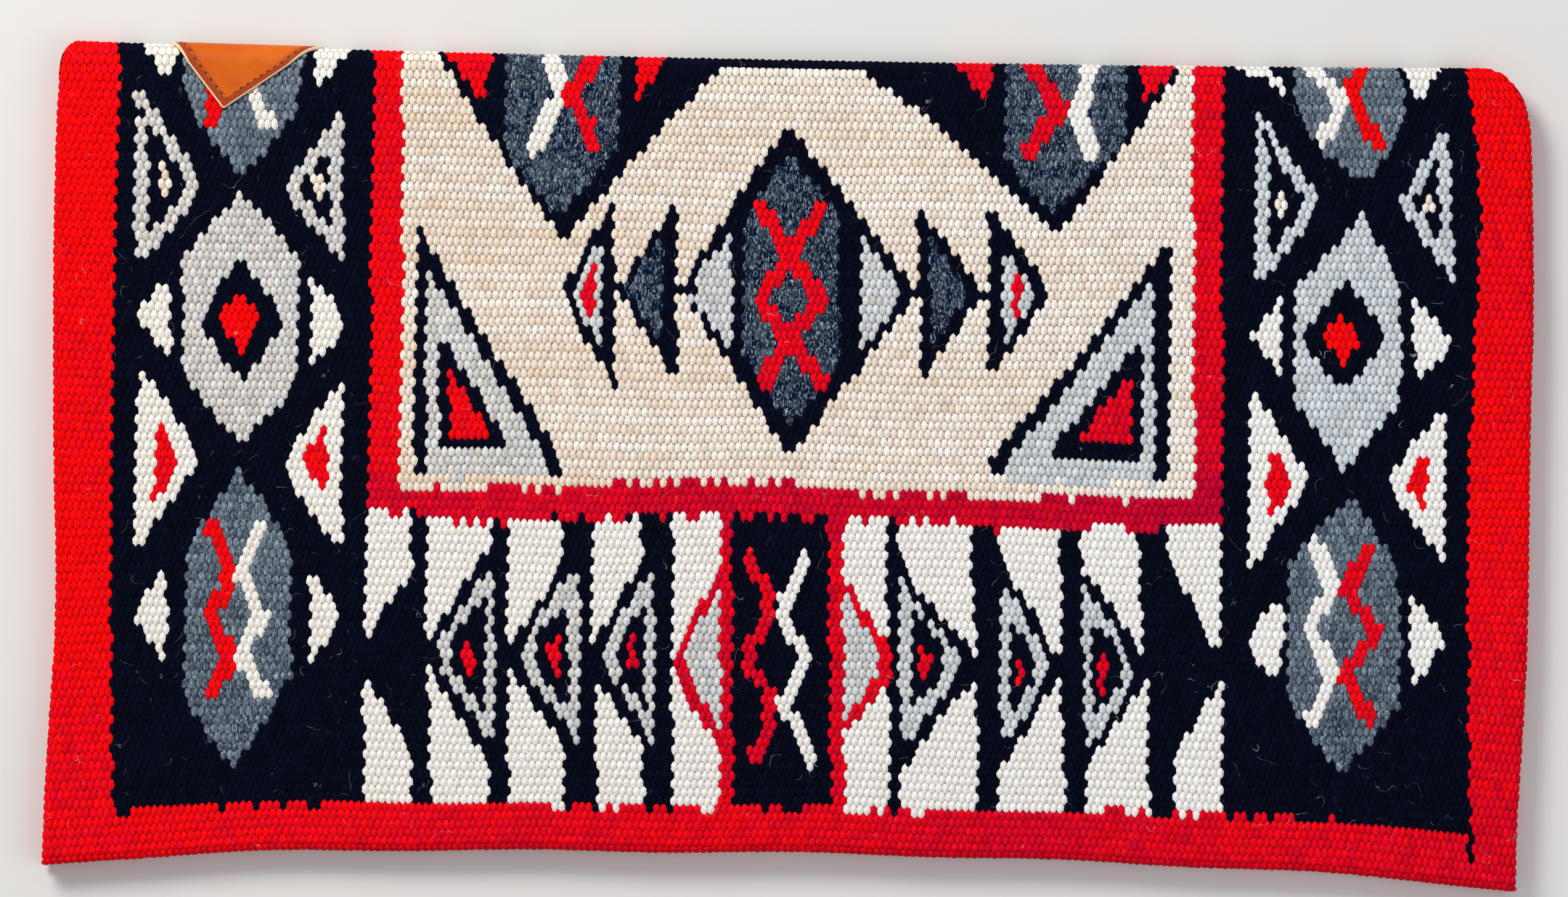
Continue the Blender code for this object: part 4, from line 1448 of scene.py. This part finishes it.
def with_spares(grid):
    """A grid with one more point at each end of its rows."""
    before = 2 * grid[:, :1] - grid[:, 1:2]
    after = 2 * grid[:, -1:] - grid[:, -2:-1]
    return np.concatenate([before, grid, after], 1)


across_count = 2 * len(INSETS) + PATCH_STEPS - 2
leather_pieces = []
for number, (start, end) in enumerate(zip(PATCH_CUTS[:-1], PATCH_CUTS[1:])):
    lines = patch_lines(start, end)
    name = ["lower_tip", "strip_1", "strip_2", "strip_3", "strip_4", "strip_5", "upper_tip"][number]
    piece, i, j, is_back = slab("leather_" + name, across_count, len(lines) - 1)
    spare = np.concatenate([[2 * lines[0] - lines[1]], lines, [2 * lines[-1] - lines[-2]]])
    top, to_edge = patch_grid(spare, top_depth)
    bottom, _ = patch_grid(spare, flat_depth)
    fit(piece, i, j, is_back, with_spares(top), with_spares(bottom))
    near_edge = to_edge[1:-1][j, i]
    worn = smooth((WORN_START - near_edge) / (WORN_START - WORN_END)).astype(np.float32)
    piece.data.attributes.new("rim", "FLOAT", "POINT").data.foreach_set("value", worn)
    for finish in FINISHES:
        piece.data.materials.append(finish)
    corners = np.array([list(face.vertices) for face in piece.data.polygons])
    on_edge = near_edge[corners].max(1) < PALE_EDGE * EDGE_SHARE
    finish_of = np.where(on_edge, EDGE_FINISH, TOP_FINISH).astype(np.int32)
    piece.data.polygons.foreach_set("material_index", finish_of)
    leather_pieces.append((piece, start, end))
print(len(leather_pieces), "pieces of leather")

# %% [markdown]
# A stitch is a short thick thread on the leather, and a hole is a dark dot, painted shade where the
# hole goes into the leather. Both are copies of one ball, stretched or flattened, and turned to lie on
# the leather in the direction of their seam. A ball with few faces does, because there are more than
# a hundred of them.

# %% Threads and holes
bpy.ops.mesh.primitive_uv_sphere_add(segments=10, ring_count=6, radius=1)
model_ball = bpy.context.object
model_ball.data.shade_smooth()
for finish in FINISHES:
    model_ball.data.materials.append(finish)


def lay_on(place, ahead):
    """The frame of something that lies on the leather at a place and points ahead."""
    rise = -proud(place[1])
    here = Vector(on_cloth(place[0], place[1], rise))
    to = Vector(on_cloth(ahead[0], ahead[1], rise)) - here
    out = here - Vector(on_cloth(place[0], place[1], 0.0))
    to.normalize()
    out = (out - to * out.dot(to)).normalized()
    return Matrix((to, out.cross(to), out)).transposed().to_4x4(), here


def blob(place, ahead, size, finish_number):
    """A copy of the ball as a small piece on the leather."""
    turn, here = lay_on(place, ahead)
    ball = model_ball.copy()
    ball.data = model_ball.data.copy()
    bpy.context.collection.objects.link(ball)
    ball.data.polygons.foreach_set("material_index", [finish_number] * len(ball.data.polygons))
    ball.data.transform(Matrix.Translation(here) @ turn @ Matrix.Diagonal((*size, 1)))
    return ball


print("ball of", len(model_ball.data.polygons), "faces")

# %% [markdown]
# Two seams show in the photograph, on the upper half. The hidden corner has the same two, turned by
# half a turn about the middle of the leather. Each thread runs from one hole to the next.

# %% Seams of the leather
STITCH = 0.0046
THREAD_HALF_LENGTH, THREAD_RADIUS, HOLE_RADIUS = 0.0016, 0.00045, 0.00050
HOLE_PLACE, HOLE_RISE = 0.44, 0.0001
UPPER_SEAMS = [((-0.3648, 0.0011), (-0.3359, 0.0366)), ((-0.3317, 0.0320), (-0.2925, 0.0062))]
PATCH_MIDDLE = np.array([(PATCH_LEFT + PATCH_RIGHT) / 2, 0])

thread = (THREAD_HALF_LENGTH, THREAD_RADIUS, THREAD_RADIUS)
hole = (HOLE_RADIUS, HOLE_RADIUS, HOLE_RISE)
made = {piece.name: [] for piece, _, _ in leather_pieces}
for side in (1, -1):
    for first, last in UPPER_SEAMS:
        first, last = (PATCH_MIDDLE + side * (np.array(end) - PATCH_MIDDLE) for end in (first, last))
        count = int(np.linalg.norm(last - first) / STITCH)
        step = (last - first) / count
        for number in range(count):
            place = first + step * (number + 0.5)
            home = next(piece for piece, start, end in leather_pieces if start <= place[1] < end)
            made[home.name].append(blob(place, place + step, thread, THREAD_FINISH))
            for at in (-HOLE_PLACE, HOLE_PLACE):
                spot = place + step * at
                made[home.name].append(blob(spot, spot + step, hole, HOLE_SHADE_FINISH))
bpy.data.objects.remove(model_ball)
print(sum(len(parts) for parts in made.values()), "threads and holes")

# %% [markdown]
# The threads and holes are joined to the strip of leather that they lie on, so they move with it. The
# two tips of the leather ride on the halves, and the strips between them stay where they were built.

# %% Join the stitches to the leather
for number, (piece, start, end) in enumerate(leather_pieces):
    if made[piece.name]:
        bpy.ops.object.select_all(action="DESELECT")
        for part in made[piece.name]:
            part.select_set(True)
        piece.select_set(True)
        bpy.context.view_layer.objects.active = piece
        bpy.ops.object.join()
    if number in (0, 6):
        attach(piece, "lower_half" if number == 0 else "upper_half")
        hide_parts("lower_patch" if number == 0 else "upper_patch")
    else:
        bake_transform(piece)
        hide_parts("patch_edge_strip" if number == 5 else f"patch_strip_{number}")
print("leather rides on", len(leather_pieces), "parts of the fold")

# %% [markdown]
# Last, the view layer is brought up to date.

# %% Finish
bpy.context.view_layer.update()
